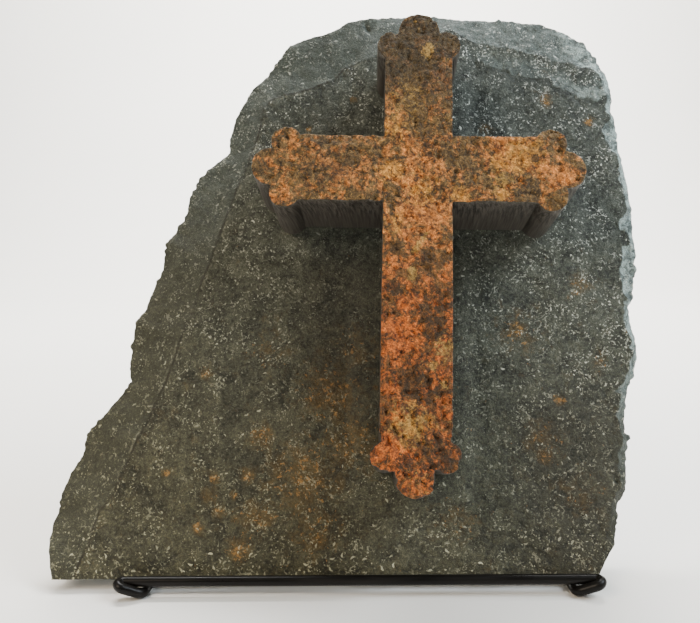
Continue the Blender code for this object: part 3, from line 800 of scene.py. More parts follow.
def rod_tree(material):
    """Geometry Nodes that bend one rod to the closed frame of the stand."""
    tree = bpy.data.node_groups.new("Bent rod", "GeometryNodeTree")
    tree.interface.new_socket("Geometry", in_out="OUTPUT", socket_type="NodeSocketGeometry")
    for title in STAND_SIZES:
        tree.interface.new_socket(title, in_out="INPUT", socket_type="NodeSocketFloat")
    entry = add_node(tree, "NodeGroupInput").outputs
    size = {title: Number(tree, entry[title]) for title in STAND_SIZES}
    index = Number(tree, add_node(tree, "GeometryNodeInputIndex").outputs[0])
    pair = calc(tree, "MINIMUM", index, PATH_POINTS - 1.0 - index)
    side = 1.0 - 2.0 * calc(tree, "GREATER_THAN", index, PATH_POINTS / 2.0 - 0.5)
    radius = 0.5 * size["Rod"]
    corners = (
        (size["Nose"], size["Lip Y"], size["Lip Z"]),
        (size["Nose"], size["Lip Y"] - size["Fold"], size["Lip Z"]),
        (size["Runner"], size["Foot Y"], radius),
        (size["Runner"], size["Back Y"], radius),
        (size["Rest"], size["Rest Y"], size["Rest Z"]),
    )
    places = add_node(tree, "GeometryNodeIndexSwitch", {"Index": pair}, data_type="VECTOR")
    bends = add_node(tree, "GeometryNodeIndexSwitch", {"Index": pair}, data_type="FLOAT")
    for number, ((x, y, z), bend) in enumerate(zip(corners, BENDS), start=1):
        if number > 2:
            places.index_switch_items.new()
            bends.index_switch_items.new()
        point = add_node(tree, "ShaderNodeCombineXYZ", {"X": x * side, "Y": y, "Z": z}).outputs[0]
        feed(tree, places, {number: point})
        feed(tree, bends, {number: bend})
    circle = {"Resolution": 28, "Radius": radius}
    ring = add_node(tree, "GeometryNodeCurvePrimitiveCircle", circle).outputs[0]
    rounded = {"Count": 12, "Radius": bends.outputs[0], "Limit Radius": True}
    shape = add_node(tree, "GeometryNodeMeshLine", {"Count": PATH_POINTS}).outputs[0]
    for kind, entry, inputs, settings in (
        ("GeometryNodeSetPosition", "Geometry", {"Position": places.outputs[0]}, {}),
        ("GeometryNodeMeshToCurve", "Mesh", {}, {}),
        ("GeometryNodeSetSplineCyclic", "Geometry", {"Cyclic": True}, {}),
        ("GeometryNodeFilletCurve", "Curve", rounded, {"mode": "POLY"}),
        ("GeometryNodeCurveToMesh", "Curve", {"Profile Curve": ring}, {}),
        ("GeometryNodeSetShadeSmooth", "Geometry", {}, {}),
        ("GeometryNodeTransform", "Geometry", {"Translation": STAND_PLACE}, {}),
        ("GeometryNodeRealizeInstances", "Geometry", {}, {}),
        ("GeometryNodeSetMaterial", "Geometry", {"Material": material}, {}),
    ):
        shape = add_node(tree, kind, {entry: shape, **inputs}, **settings).outputs[0]
    add_node(tree, "NodeGroupOutput", {"Geometry": shape})
    return tree


def grow(name, tree, sizes):
    """A plain mesh made by a Geometry Nodes tree with these sizes."""
    host = put(name + "_host", bpy.data.meshes.new(name + "_host"))
    modifier = host.modifiers.new("Nodes", "NODES")
    modifier.node_group = tree
    for item in tree.interface.items_tree:
        if item.in_out == "INPUT":
            modifier[item.identifier] = sizes[item.name]
    bpy.context.view_layer.update()
    done = host.evaluated_get(bpy.context.evaluated_depsgraph_get())
    mesh = bpy.data.meshes.new_from_object(done)
    bpy.data.objects.remove(host)
    mesh.name = name
    return put(name, mesh)


# %% [markdown]
# Every finish here is worked out by shader nodes from the object's own coordinates, so it has no seams
# and no picture behind it. A small helper keeps the trees readable. Its place turns the object's
# coordinates upright, in the slab's own directions, because cleavage and saw marks follow those.

# %% A helper for finishes


class Finish:
    """A material whose nodes are added one by one. Methods return what to use next."""

    def __init__(self, name):
        self.material = bpy.data.materials.new(name)
        self.material.use_nodes = True
        self.tree = self.material.node_tree
        self.shader = self.tree.nodes["Principled BSDF"]
        coordinates = self.add("ShaderNodeTexCoord").outputs["Object"]
        turned = {"Vector": coordinates, "Rotation": (LEAN, 0.0, 0.0)}
        self.place = self.add("ShaderNodeMapping", turned).outputs[0]
        wander = {"Vector": self.place, "Scale": 700.0, "Detail": 1.0}
        wander = self.add("ShaderNodeTexNoise", wander).outputs["Color"]
        shift = self.vectors("MULTIPLY", wander, (0.0011, 0.0011, 0.0011))
        self.crumpled = self.vectors("ADD", self.place, shift)

    def add(self, kind, inputs=None, **settings):
        return add_node(self.tree, kind, inputs, **settings)

    def vectors(self, operation, first, second):
        """One Vector Math node."""
        return self.add("ShaderNodeVectorMath", {0: first, 1: second}, operation=operation).outputs[0]

    def parts(self, kind, source):
        """The three numbers of a place or a colour."""
        return [Number(self.tree, socket) for socket in self.add(kind, {0: source}).outputs]

    def noise(self, scale, detail=3.0, rough=0.5, place=None, bend=0.0):
        inputs = {"Vector": place or self.place, "Scale": scale, "Detail": detail,
                  "Roughness": rough, "Distortion": bend}
        return Number(self.tree, self.add("ShaderNodeTexNoise", inputs).outputs["Fac"])

    def fade(self, value, low, high, start=0.0, end=1.0):
        """A soft step from start to end while the value goes from low to high."""
        inputs = {0: value, 1: low, 2: high, 3: start, 4: end}
        made = self.add("ShaderNodeMapRange", inputs, interpolation_type="SMOOTHSTEP")
        return Number(self.tree, made.outputs[0])

    def blend(self, share, under, over, mode="MIX"):
        """One colour over another by a share."""
        under = (*under, 1.0) if isinstance(under, tuple) else under
        over = (*over, 1.0) if isinstance(over, tuple) else over
        made = self.add("ShaderNodeMix", {0: share, 6: under, 7: over}, data_type="RGBA", blend_type=mode)
        return made.outputs[2]

    def tinted(self, share, colour, tint):
        """A colour multiplied by a tint, by a share."""
        return self.blend(share, colour, self.blend(1.0, colour, tint, "MULTIPLY"))

    def sanded(self, colour, grain, low, dark, pale):
        """A colour with dark and pale grains multiplied over it."""
        grains = self.blend(self.fade(grain, low, 1.0 - low), (dark, dark, dark), (pale, pale, pale))
        return self.blend(0.9, colour, grains, "MULTIPLY")

    def mark(self, name):
        return Number(self.tree, self.add("ShaderNodeAttribute", attribute_name=name).outputs["Fac"])

    def stretched(self, scale):
        """The place squeezed or stretched along the slab's own directions."""
        return self.add("ShaderNodeMapping", {"Vector": self.place, "Scale": scale}).outputs[0]

    def dress(self, colour, rough, specular, height, deep, strength=1.0):
        """Give the shader its colour, roughness and shine, and a fine relief of this depth."""
        relief = {"Height": height, "Distance": deep, "Strength": strength}
        feed(self.tree, self.shader, {
            "Base Color": colour, "Roughness": rough, "Specular IOR Level": specular,
            "Normal": self.add("ShaderNodeBump", relief).outputs[0],
        })
        return self.material


# %% [markdown]
# Pale shell scraps and calcite are scattered in the slate, short, bent and turned every way. Two rules
# draw them. For the chunky ones a Voronoi texture gives each scrap its cell, and the place inside it
# is turned by a random angle and squeezed, so that a distance to the middle draws a streak. For the
# thin bent threads, a noise crosses its middle value along winding lines, and a second noise keeps
# only short pieces of them.

# %% Scraps of shell


def scraps(finish, scale, length, width, share, seed=0.0):
    """Pale streaks, 1 on a scrap and 0 beside it. Share says how many cells hold one, 0 to 1."""
    shifted = finish.vectors("ADD", finish.crumpled, (seed, seed, seed))
    cell = finish.add("ShaderNodeTexVoronoi", {"Vector": shifted, "Scale": scale}).outputs
    turn, chance, bright = finish.parts("ShaderNodeSeparateColor", cell["Color"])
    away = {"Vector": finish.vectors("SUBTRACT", shifted, cell["Position"]), "Angle": math.tau * turn}
    turned = finish.add("ShaderNodeVectorRotate", away, rotation_type="Y_AXIS").outputs[0]
    x, y, z = finish.parts("ShaderNodeSeparateXYZ", turned)
    long = x / length
    wide = (0.9 * width * (long * long) + z) / width
    deep = y / (0.55 / scale)
    here = finish.fade(long * long + wide * wide + deep * deep, 1.0, 0.35)
    return here * calc(finish.tree, "LESS_THAN", chance, share) * (0.7 * bright + 0.3)


def threads(finish, scale, half_width, seed):
    """Thin winding threads in short pieces."""
    shifted = finish.vectors("ADD", finish.place, (seed, seed, seed))
    off_middle = abs(finish.noise(scale, 1.0, 0.5, shifted) - 0.5)
    kept = finish.fade(finish.noise(0.8 * scale, 1.0, 0.5, shifted, 1.0), 0.52, 0.60)
    return finish.fade(off_middle, half_width, 0.35 * half_width) * kept


# %% [markdown]
# The slab's grey isn't even. It is warm and olive at the lower left and cooler and paler towards the
# upper right, partly the stone's own tone and partly a painted sheen of daylight from the upper right.
# It is mottled at every size from a hand's breadth to a grain of sand. Rust has soaked in from small
# iron specks, as ragged brown clouds with brighter grains inside. The broken band and walls are
# fresher stone, paler and with fewer scraps; the band's paler, bluer tone to the right and its bright
# patches at the right edge are painted daylight, and a painted shadow darkens the face beside the
# cross. Multiplying dark and pale grain over the ground colour keeps the contrast of real split stone,
# which a single soft noise would lose.

# %% The grey slate
# Each pair runs from the darkest grain to the palest.
WARM_SLATE = ((0.0125, 0.012, 0.0062), (0.087, 0.082, 0.045))
# The cooler grey is partly the stone's own tone and partly a painted sheen of daylight.
SHEENED_COOL_SLATE = ((0.013, 0.0165, 0.014), (0.096, 0.111, 0.094))
LOW_BREAK = ((0.0125, 0.0135, 0.0078), (0.054, 0.054, 0.032))
HIGH_BREAK = ((0.0125, 0.0175, 0.015), (0.072, 0.087, 0.073))
# The pale blue-grey of the right break is painted daylight on right-facing facets, over fresher stone.
LIT_RIGHT_BREAK = ((0.026, 0.036, 0.035), (0.145, 0.178, 0.168))
BROWN_RUST = ((0.011, 0.0075, 0.002), (0.150, 0.096, 0.030))
OCHRE_RUST = ((0.130, 0.064, 0.014), (0.380, 0.205, 0.062))
SHELL = ((0.520, 0.500, 0.330), (0.680, 0.720, 0.660))
# How much brighter patches of the right edge are: a painted glint of daylight.
PAINTED_RIGHT_GLINT = (2.7, 2.7, 2.7)
# Painted shadow left of the cross's shaft and at the lower right.
PAINTED_SHADOW_TINT = (0.66, 0.63, 0.60)
CRACK, CRACK_LIP = (0.016, 0.014, 0.009), (0.230, 0.225, 0.160)
# Painted shadow under the second ledge at the upper right.
LEDGE_SHADOW = (0.016, 0.020, 0.018)
BROKEN_WALL = (0.082, 0.092, 0.084)


def slate_finish():
    """Dark grey-green slate with shell scraps, rusty clouds and paler breaks."""
    grey = Finish("Grey flecked slate")
    crease, ledge, wall, ridge, edge = map(grey.mark, ("crease", "ledge", "wall", "ridge", "edge"))
    rust, chalk, cool_and_sheen, high, seam = map(grey.mark, ("rust", "chalk", "cool_and_sheen", "high", "seam"))
    cloud = grey.noise(45.0, 5.0, 0.62, bend=0.5)
    patch = grey.noise(170.0, 4.0, 0.66, bend=0.8)
    speck = grey.noise(620.0, 3.0, 0.68)
    grain = grey.noise(1500.0, 2.0, 0.6)
    tone = 2.7 * (0.45 * cloud + 0.55 * patch - 0.5) + 1.5 * speck - 0.38
    # Warm olive at the lower left, cooler and paler to the upper right: partly the stone's tone, partly a
    # painted daylight sheen.
    face = grey.blend(cool_and_sheen, grey.blend(tone, *WARM_SLATE), grey.blend(tone, *SHEENED_COOL_SLATE))

    # The broken band: darker on the left; to the right paler and bluer with painted daylight, and at the
    # right edge a painted glint in patches.
    band = grey.fade(crease, 0.0004, -0.0008)
    tone = 0.9 * patch + 0.8 * speck - 0.35
    low_break, high_break, lit_right_break = (
        grey.blend(tone, *pair) for pair in (LOW_BREAK, HIGH_BREAK, LIT_RIGHT_BREAK)
    )
    left_break = grey.blend(grey.fade(cool_and_sheen, 0.2, 0.7), low_break, high_break)
    lit_right_break = grey.tinted(edge * grey.fade(patch, 0.40, 0.56), lit_right_break, PAINTED_RIGHT_GLINT)
    broken = grey.blend(grey.mark("lit_band"), left_break, lit_right_break)
    colour = grey.blend(band * grey.fade(edge, 0.0, 1.0, 0.75, 0.90), face, broken)
    # The facet above the second ledge faces up and is painted pale like the daylit right break: a painted
    # highlight.
    lit_facet = grey.fade(ledge, -0.0002, 0.0016) * grey.fade(ledge, 0.015, 0.007) * ridge
    colour = grey.blend(0.55 * lit_facet, colour, lit_right_break)
    colour = grey.sanded(colour, grain, 0.30, 0.50, 1.50)

    # Rust: soaked brown clouds, and ochre grains inside them.
    bare = 1.0 - 0.75 * band
    soaked = grey.fade(rust + 1.9 * grey.noise(150.0, 6.0, 0.72, bend=0.6) - 0.95, 0.20, 0.72)
    colour = grey.blend(0.66 * soaked * bare, colour, grey.blend(speck, *BROWN_RUST))
    bright = grey.fade(0.7 * rust + 2.4 * grey.noise(380.0, 4.0, 0.68, bend=0.5) - 1.2, 0.50, 0.72)
    colour = grey.blend(0.85 * bright * bare, colour, grey.blend(grain, *OCHRE_RUST))

    # Scraps of shell in three sizes, and threads. They crowd in places and are few on the breaks.
    big = scraps(grey, 140.0, 0.0017, 0.00066, 0.40)
    small = scraps(grey, 280.0, 0.0010, 0.00050, 0.52, 3.1)
    dots = 0.8 * scraps(grey, 520.0, 0.00052, 0.00042, 0.55, 7.7)
    winding = 0.40 * threads(grey, 330.0, 0.050, 11.3)
    crowd = grey.fade(grey.noise(95.0, 3.0, 0.6), 0.40, 0.62, 0.15, 1.0)
    kept = chalk * (1.0 - band * grey.fade(high, 0.0, 1.0, 0.20, 0.35))
    pale = highest(big, highest(small, winding) * crowd, dots * crowd) * kept
    colour = grey.blend(pale, colour, grey.blend(cool_and_sheen, *SHELL))

    # Painted shadow beside the cross, then the crack along the crease with its pale lip.
    painted_shadow = grey.mark("painted_shadow") * grey.fade(cloud, 0.30, 0.55, 0.5, 1.0)
    colour = grey.tinted(painted_shadow, colour, PAINTED_SHADOW_TINT)
    wander = crease + 0.0012 * speck - 0.0006

    def stroke(low_middle, high_middle, half_width):
        """A line beside the crease, which swaps sides between the low and the high part."""
        below, above = (
            grey.fade(abs(wander - middle), half_width, 0.3 * half_width) * side
            for middle, side in ((low_middle, 1.0 - high), (high_middle, high))
        )
        return highest(below, above) * seam

    crack = stroke(0.0008, -0.0008, 0.0010) * grey.fade(patch, 0.34, 0.58, 0.12, 0.82)
    colour = grey.blend(crack, colour, CRACK)
    lip = stroke(-0.0007, 0.0008, 0.0009) * grey.fade(patch, 0.46, 0.66, 0.0, 0.34)
    colour = grey.blend(lip, colour, CRACK_LIP)
    # Painted shadow in a band just under the second ledge.
    under = grey.fade(abs(ledge + 0.0016), 0.0034, 0.0004) * ridge
    colour = grey.blend(under * grey.fade(patch, 0.34, 0.62, 0.1, 0.75), colour, LEDGE_SHADOW)
    fresh = wall * grey.fade(grey.noise(240.0, 4.0, 0.65), 0.35, 0.65)
    colour = grey.blend(0.6 * fresh, colour, BROKEN_WALL)

    layers = grey.noise(1.0, 3.0, 0.6, place=grey.stretched((90.0, 900.0, 90.0)))
    height = 0.35 * grain + 0.9 * speck + 0.9 * patch + 0.35 * pale + 1.2 * layers * wall
    return grey.dress(colour, grey.fade(grain, 0.2, 0.8, 0.66, 0.90), 0.35, height, 0.0008)


slab.data.materials.append(slate_finish())

# %% [markdown]
# Where the rust, the chalky scraps and the cooler grey lie is as particular to this stone as its
# outline, so it is marked one by one: each rusty place, picked on the photograph, has a radius
# and a strength. The cooler grey carries a painted sheen of daylight as well. The shader breaks
# these soft spots up, so none of them shows as a disc.

# %% Marks for the slab's colours
RUSTY_PLACES = (
    (-0.051, 0.102, 0.024, 0.62), (-0.090, 0.079, 0.012, 0.55), (-0.068, 0.054, 0.028, 0.60),
    (-0.036, 0.128, 0.020, 0.45), (-0.096, 0.032, 0.014, 0.55), (-0.060, 0.025, 0.022, 0.50),
    (-0.040, 0.075, 0.024, 0.55), (-0.085, 0.128, 0.022, 0.35), (0.060, 0.138, 0.018, 0.50),
    (0.071, 0.075, 0.016, 0.55), (0.090, 0.045, 0.020, 0.40), (0.105, 0.120, 0.007, 0.55),
    (0.084, 0.285, 0.006, 0.75), (0.110, 0.269, 0.004, 0.95), (0.046, 0.266, 0.005, 0.65),
    (-0.025, 0.1055, 0.002, 1.1), (-0.120, 0.045, 0.008, 0.50), (0.020, 0.030, 0.018, 0.45),
    (-0.064, 0.268, 0.002, 1.0), (-0.036, 0.288, 0.0025, 0.9), (0.098, 0.165, 0.010, 0.5),
    (-0.118, 0.054, 0.0034, 0.95), (-0.115, 0.036, 0.0050, 0.72), (-0.106, 0.045, 0.0032, 0.75),
    (-0.099, 0.056, 0.0055, 0.72), (-0.1265, 0.027, 0.0040, 0.95), (-0.103, 0.015, 0.0075, 0.85),
    (-0.125, 0.115, 0.0050, 0.72), (-0.146, 0.058, 0.0034, 0.72), (-0.093, 0.079, 0.0065, 0.80),
    (-0.090, 0.032, 0.0080, 0.75), (-0.072, 0.060, 0.0060, 0.75), (-0.058, 0.020, 0.0060, 0.75),
    (0.071, 0.066, 0.0065, 0.72), (0.081, 0.097, 0.0045, 0.75), (0.060, 0.139, 0.0060, 0.75),
)


def spots(rows, places, ground, wider=1.0):
    """A mark that is highest at each of the places and falls to the ground away from them."""
    level = np.zeros(len(rows)) + ground
    for at_x, at_z, radius, strength in places:
        away = (rows[:, 0] - at_x) ** 2 + (rows[:, 2] - at_z) ** 2
        level = np.maximum(level, strength * np.exp(-away / (radius * wider) ** 2))
    return level


def slab_colour_marks():
    """Rust, chalk, coolness with its painted sheen, painted shadow and the parts of the crease, on every
    point of the slab.
    """
    x, z = slab_rows[:, [0, 2]].T
    chalk = 0.60 + 0.34 * ramp(x, 0.02, 0.11) + 0.45 * ramp(z, 0.20, 0.24) * ramp(x, 0.0, 0.03)
    # The terms taken away here thin the pale scraps left of the shaft and at the lower right, where the
    # painted shadow lies: painted shade too.
    chalk += 0.35 * ramp(z, 0.035, 0.005) - 0.12 * ramp(x, -0.03, 0.02) * ramp(z, 0.15, 0.05)
    chalk += 0.25 * ramp(z, 0.22, 0.27) - 0.30 * ramp(np.abs(x + 0.045), 0.035, 0.015) * ramp(z, 0.07, 0.10)
    # Where the painted shadow lies: left of the shaft and at the lower right.
    shadow_left = ramp(np.abs(x + 0.035), 0.045, 0.015) * ramp(z, 0.20, 0.17) * ramp(z, 0.08, 0.11)
    shadow_right = ramp(x, 0.035, 0.075) * ramp(z, 0.13, 0.08)
    return {
        "rust": spots(slab_rows, RUSTY_PLACES, 0.06 + 0.08 * ramp(z, 0.18, 0.08)),
        "chalk": np.clip(chalk, 0.0, 1.0),
        "edge": ramp(x, 0.088, 0.108),
        # Cooler to the upper right: partly the stone's tone, partly a painted sheen of daylight.
        "cool_and_sheen": np.clip(1.5 * x + 2.7 * z + 0.08, 0.0, 1.0),
        # Share of the broken band painted as pale, daylit stone, growing to the upper right.
        "lit_band": ramp(x, -0.06, 0.04) * ramp(z, 0.02, 0.18),
        "seam": ramp(x, -0.015, -0.045),
        "high": ramp(z, 0.135, 0.175),
        "ridge": ramp(x, RIDGE_FROM, RIDGE_TO),
        "painted_shadow": np.maximum(shadow_left, shadow_right),
    }


add_marks(slab.data, slab_colour_marks())
print("marks on the slab:", [layer.name for layer in slab.data.attributes])

# %% [markdown]
# The face of the cross is a natural joint in the quarry, where iron-bearing water left a crumbly skin:
# orange and amber at the crossing and down the shaft, olive brown on the arms and almost black on the
# head. It is a mosaic of grains one or two millimetres wide, so a Voronoi texture gives the grains,
# each with its own shade, and the marks only say which shades are likely where. The sides were cut,
# so the skin ends at the edge, and below it is plain dark slate with the fine ripple of the jet.

# %% The rusty slate of the cross
OLIVE_SKIN = ((0.032, 0.0185, 0.0055), (0.200, 0.120, 0.042))
FIRE_SKIN = ((0.120, 0.038, 0.009), (0.820, 0.300, 0.066))
AMBER_SKIN = ((0.190, 0.078, 0.012), (0.740, 0.350, 0.060))
SOOTY_SKIN = ((0.017, 0.013, 0.007), (0.076, 0.058, 0.031))
LOW_TINT = (0.88, 0.60, 0.42)             # the lower shaft is redder
# The last two darken pits and the gaps between grains: partly the skin's dark ground, partly painted shade
# in these hollows.
SAND, PIT_SHADE, CREVICE_SHADE = (0.440, 0.265, 0.066), (0.028, 0.018, 0.008), (0.050, 0.028, 0.012)
CUT_SIDE = ((0.012, 0.010, 0.0075), (0.074, 0.065, 0.055))
WORN_EDGE = ((0.040, 0.030, 0.020), (0.130, 0.125, 0.110))
JET_DRAG, JET_BEND = 0.0055, 0.020        # how far the jet's marks trail, and the depth they bend over
JET_FINE, JET_LONG = 900.0, 16.0          # the marks are fine across and long in depth
FRONT_PLANE = FACE_FOOT[1] * math.cos(LEAN) - FACE_FOOT[2] * math.sin(LEAN) - CROSS_THICKNESS - CROSS_GAP


def jet_ripple(rusty):
    """The water jet's marks, about 0 to 1: fine lines that start straight in and then trail."""
    x, y, z = rusty.parts("ShaderNodeSeparateXYZ", rusty.place)
    behind = y - FRONT_PLANE
    trail = JET_DRAG * (1.0 - calc(rusty.tree, "EXPONENT", -1.0 / JET_BEND * behind))
    swept = {0: JET_FINE * (x - trail), 1: JET_LONG * y, 2: JET_FINE * (z - trail)}
    ripple = rusty.noise(1.0, 2.0, 0.6, place=rusty.add("ShaderNodeCombineXYZ", swept).outputs[0])
    return (ripple - 0.5) * rusty.fade(behind, 0.008, 0.040, 1.15, 0.5) + 0.5


def rusty_finish():
    """Iron-stained crumbly face, worn grey edges and dark cut sides."""
    rusty = Finish("Rusty split slate")
    top, orange, tan, dark = map(rusty.mark, ("top_face", "orange", "tan", "dark"))
    sooty, amber, low, arris = map(rusty.mark, ("sooty", "amber", "low", "arris"))
    blotch = rusty.noise(95.0, 5.0, 0.66, bend=0.9)
    knobs = rusty.noise(210.0, 4.0, 0.62, bend=0.8)
    fleck = rusty.noise(400.0, 4.0, 0.70, bend=0.6)
    grain = rusty.noise(1300.0, 2.0, 0.6)
    cells = rusty.add("ShaderNodeTexVoronoi", {"Vector": rusty.crumpled, "Scale": 640.0}).outputs
    hue, light, sandy = rusty.parts("ShaderNodeSeparateColor", cells["Color"])
    crevice = rusty.fade(Number(rusty.tree, cells["Distance"]), 0.45, 0.85)

    # The skin: olive or orange by the blotches and the marks, then amber, soot and sand, then dark pits and
    # crevices, partly the skin's dark ground and partly painted shade in its hollows.
    mixed = orange + 3.0 * blotch + 0.8 * fleck + 0.24 * hue - 2.02
    tone = 0.62 * (rusty.fade(fleck, 0.30, 0.70) + 0.40 * light - 0.20) + 2.2 * knobs - 0.92
    olive, fire = rusty.blend(tone, *OLIVE_SKIN), rusty.blend(tone, *FIRE_SKIN)
    colour = rusty.blend(rusty.fade(mixed, 0.18, 0.80), olive, fire)
    colour = rusty.tinted(low, colour, LOW_TINT)
    honey = 0.75 * rusty.fade(amber + 1.6 * knobs - 0.8, 0.25, 0.70)
    colour = rusty.blend(honey, colour, rusty.blend(tone, *AMBER_SKIN))
    soot = 0.88 * rusty.fade(sooty + 0.9 * blotch - 0.45, 0.15, 0.85)
    colour = rusty.blend(soot, colour, rusty.blend(tone, *SOOTY_SKIN))
    sand = tan + 3.0 * rusty.noise(360.0, 5.0, 0.75, bend=0.8) + 0.3 * sandy - 2.10
    colour = rusty.blend(0.62 * rusty.fade(sand, 0.0, 0.50), colour, SAND)
    shaded_pit = dark + 2.6 * rusty.noise(330.0, 4.0, 0.68, bend=0.9) - 1.50
    colour = rusty.blend(0.80 * rusty.fade(shaded_pit, 0.0, 0.25), colour, PIT_SHADE)
    colour = rusty.blend(0.3 * crevice, colour, CREVICE_SHADE)
    colour = rusty.sanded(colour, grain, 0.3, 0.55, 1.45)

    ripple = jet_ripple(rusty)
    side = rusty.blend(rusty.fade(ripple, 0.32, 0.68), *CUT_SIDE)
    side = rusty.blend(arris, side, rusty.blend(rusty.fade(fleck, 0.35, 0.75), *WORN_EDGE))
    relief = (1.6 * fleck + 0.5 * grain - 0.7 * crevice) * top + ripple * (1.0 - top)
    return rusty.dress(rusty.blend(top, side, colour), 0.45 + 0.47 * top, 0.5, relief, 0.0007)


# Places on the cross: across and up from the crossing, radius and strength.
ORANGE_PLACES = (
    (0.0, -0.004, 0.022, 0.80), (0.0, -0.025, 0.020, 0.76), (0.050, 0.010, 0.018, 0.74),
    (0.072, -0.003, 0.014, 0.60),
    (-0.072, -0.015, 0.009, 0.62), (-0.026, -0.008, 0.015, 0.52), (-0.012, -0.060, 0.012, 0.50),
    (-0.011, -0.092, 0.014, 0.78), (0.008, -0.112, 0.010, 0.60), (-0.014, -0.152, 0.012, 0.80),
    (-0.014, -0.120, 0.007, 0.75), (0.006, -0.165, 0.012, 0.50), (-0.014, 0.032, 0.012, 0.55),
    (0.004, -0.045, 0.022, 0.42), (-0.004, -0.074, 0.007, 0.80), (0.014, -0.128, 0.010, 0.50),
)
AMBER_PLACES = (
    (0.056, 0.008, 0.010, 0.95), (0.045, 0.004, 0.006, 0.70), (0.046, -0.016, 0.005, 0.70),
    (-0.014, -0.001, 0.007, 0.90), (0.002, -0.014, 0.010, 0.60), (-0.014, 0.024, 0.009, 0.60),
    (0.022, -0.015, 0.006, 0.60), (-0.003, -0.139, 0.011, 0.55), (-0.012, -0.030, 0.009, 0.50),
)
TAN_PLACES = (
    (0.0055, 0.0710, 0.0036, 1.5), (0.0045, 0.0680, 0.0030, 1.3), (0.005, -0.037, 0.0016, 1.3),
    (0.003, -0.040, 0.0018, 1.3), (0.001, -0.043, 0.0020, 1.4), (-0.001, -0.046, 0.0022, 1.3),
    (-0.0030, -0.058, 0.0024, 1.4), (-0.0028, -0.062, 0.0022, 1.2), (-0.003, -0.139, 0.014, 0.72),
    (0.045, -0.008, 0.007, 0.80), (-0.006, 0.040, 0.016, 0.55), (0.052, 0.013, 0.008, 0.62),
    (0.015, -0.098, 0.008, 0.75), (0.0085, -0.1085, 0.0024, 1.2), (0.0145, -0.118, 0.0022, 1.3),
    (0.0, -0.165, 0.008, 0.5),
)
DARK_PLACES = (
    (0.0634, 0.0056, 0.0017, 1.5), (-0.010, 0.004, 0.004, 0.50), (0.058, -0.010, 0.007, 0.45),
    (-0.012, -0.067, 0.0045, 0.80), (0.012, -0.088, 0.006, 0.45), (0.002, -0.118, 0.013, 0.40),
    (0.004, 0.010, 0.005, 0.45), (0.012, -0.150, 0.010, 0.45), (-0.050, 0.002, 0.016, 0.25),
    (0.012, 0.018, 0.010, 0.30), (0.0, -0.005, 0.030, 0.16), (0.006, -0.080, 0.012, 0.35),
    (0.014, -0.0775, 0.0018, 1.2), (0.0165, -0.0765, 0.0016, 1.2), (0.011, -0.0785, 0.0014, 1.1),
    (0.010, -0.160, 0.009, 0.50), (-0.006, -0.158, 0.006, 0.55), (0.020, -0.152, 0.006, 0.5),
)
SOOTY_PLACES = ((0.0, 0.096, 0.034, 1.3), (-0.012, 0.070, 0.024, 1.05), (0.004, 0.054, 0.026, 0.62),
                (-0.045, 0.004, 0.020, 0.42), (0.012, -0.150, 0.012, 0.30), (0.025, 0.010, 0.012, 0.35))
WIDER = 1.1
cross_colour_marks = {
    title: spots(upright, places, ground, WIDER) for title, places, ground in (
        ("orange", ORANGE_PLACES, 0.25), ("tan", TAN_PLACES, 0.18), ("dark", DARK_PLACES, 0.06),
        ("sooty", SOOTY_PLACES, 0.0), ("amber", AMBER_PLACES, 0.0),
    )
}
cross_colour_marks["low"] = ramp(upright[:, 2], -0.015, -0.085)
add_marks(cross.data, cross_colour_marks)
cross.data.materials.append(rusty_finish())
print("marks on the cross:", list(cross_colour_marks))

# %% [markdown]
# The rod was painted or plastic-coated black. It is nearly black with a soft shine, so its form shows
# only by thin highlights. Low specular keeps the pale floor from turning it grey.

# %% The black rod


def black_finish():
    """Black paint on steel: satin, with brush drag and a few dull rubs."""
    black = Finish("Black painted steel")
    drag = black.noise(60.0, 3.0, 0.6, place=black.stretched((0.3, 1.0, 4.0)))
    speck = black.noise(1400.0, 2.0, 0.6)
    colour = black.blend(black.fade(drag, 0.4, 0.75), (0.0035, 0.003, 0.0025), (0.009, 0.008, 0.007))
    rough = black.fade(drag, 0.3, 0.75, 0.22, 0.36) + 0.08 * speck
    return black.dress(colour, rough, 0.14, speck, 0.0001, 0.35)


stand = grow("rod_frame", rod_tree(black_finish()), STAND_SIZES)
print("stand triangles:", triangle_count(stand))

# %% [markdown]
# Each finished piece takes the place of its CAD solid and moves with the one body, called root.

# %% Put the pieces on the frame
for piece, node, slot in ((slab, "backing_slab", "grey_slate"), (cross, "cross", "rusty_slate"),
                          (stand, "rod_stand", "black_steel")):
    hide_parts(node)
    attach(piece, "root")
    print(piece.name, "stands for", node)

# %% [markdown]
# The floor is a pale sheet that curves up behind the object, as in a small photo studio. It and the
# lights aren't part of the object. The daylight comes from the right and is a little blue, and a
# warmer lamp stands on the left, so each side of the cross gets the other one's shadow.

# %% Floor and lights


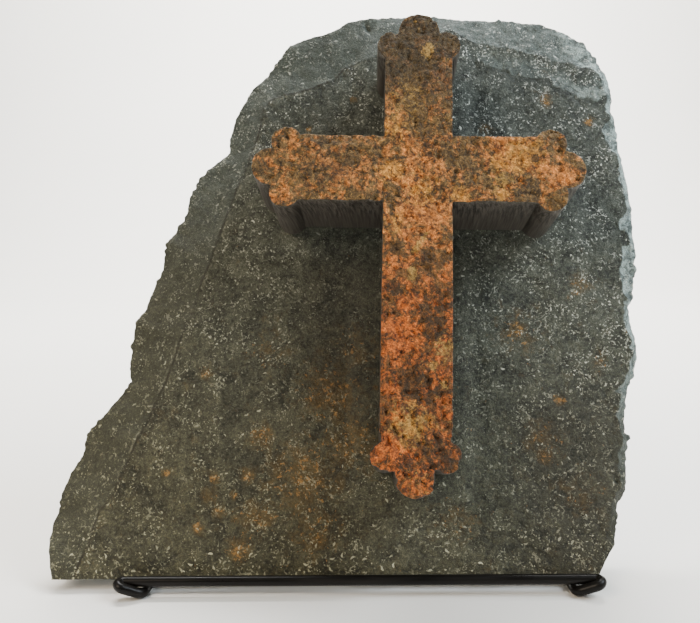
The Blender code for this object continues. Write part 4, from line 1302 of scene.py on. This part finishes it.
def studio_sheet():
    """A pale sweep: flat under the object and curved up behind it."""
    bend, radius, half_width = 1.6, 1.2, 5.0
    profile = [(-3.0, 0.0), (bend, 0.0)]
    for angle in np.linspace(0.1, math.pi / 2, 14):
        profile.append((bend + radius * math.sin(angle), radius - radius * math.cos(angle)))
    profile.append((bend + radius, 4.0))
    points = [(x, y, z) for y, z in profile for x in (-half_width, half_width)]
    faces = [(2 * n, 2 * n + 1, 2 * n + 3, 2 * n + 2) for n in range(len(profile) - 1)]
    mesh = bpy.data.meshes.new("studio_sheet")
    mesh.from_pydata(points, [], faces)
    mesh.shade_smooth()
    sheet = put("studio_sheet", mesh)
    paper = Finish("Pale paper")
    tone = paper.blend(paper.noise(3.0, 2.0), (0.80, 0.785, 0.75), (0.84, 0.825, 0.79))
    feed(paper.tree, paper.shader, {"Base Color": tone, "Roughness": 0.6})
    mesh.materials.append(paper.material)


def area_light(name, place, aim, size, power, colour):
    """A square lamp that faces a place."""
    data = bpy.data.lights.new(name, "AREA")
    data.size = size
    data.energy = power
    data.color = colour
    lamp = put(name, data)
    lamp.location = place
    lamp.rotation_euler = (Vector(aim) - Vector(place)).to_track_quat("-Z", "Y").to_euler()


studio_sheet()
area_light("daylight", place=(1.1, -0.35, 1.15), aim=(0.0, 0.0, 0.15), size=0.8, power=32.0,
           colour=(0.84, 0.93, 1.0))
area_light("warm lamp", place=(-0.9, -0.9, 0.9), aim=(0.0, 0.0, 0.12), size=0.7, power=16.0,
           colour=(1.0, 0.84, 0.64))
area_light("backdrop light", place=(0.0, 1.0, 2.4), aim=(0.0, 2.6, 0.9), size=1.6, power=330.0,
           colour=(1.0, 0.99, 0.96))
world = bpy.data.worlds.new("Soft room")
bpy.context.scene.world = world
world.use_nodes = True
world.node_tree.nodes["Background"].inputs["Color"].default_value = (1.0, 0.98, 0.95, 1.0)
world.node_tree.nodes["Background"].inputs["Strength"].default_value = 0.30

# %% [markdown]
# The camera stands where the photograph was taken: a little to the left, just below the arms of the
# cross and half a metre away. Its place was worked out from the straight edges and lobes of the
# cross, whose true form is known.

# %% Camera
CAMERA_PLACE = Vector((FACE_FOOT[0] - 0.02723, FACE_FOOT[1] - 0.41486, 0.20078))
CAMERA_RIGHT = Vector((0.9995651, 0.02400714, -0.01712525))
CAMERA_UP = Vector((0.01436117, 0.11092031, 0.99372554))
camera_data = bpy.data.cameras.new("camera")
camera_data.sensor_width = 36.0
camera_data.lens = 40.415
camera = put("camera", camera_data)
turn = Matrix((CAMERA_RIGHT, CAMERA_UP, CAMERA_RIGHT.cross(CAMERA_UP))).transposed()
camera.matrix_world = Matrix.Translation(CAMERA_PLACE) @ turn.to_4x4()
bpy.context.scene.camera = camera
print("camera looks along", [round(v, 3) for v in -CAMERA_RIGHT.cross(CAMERA_UP)])
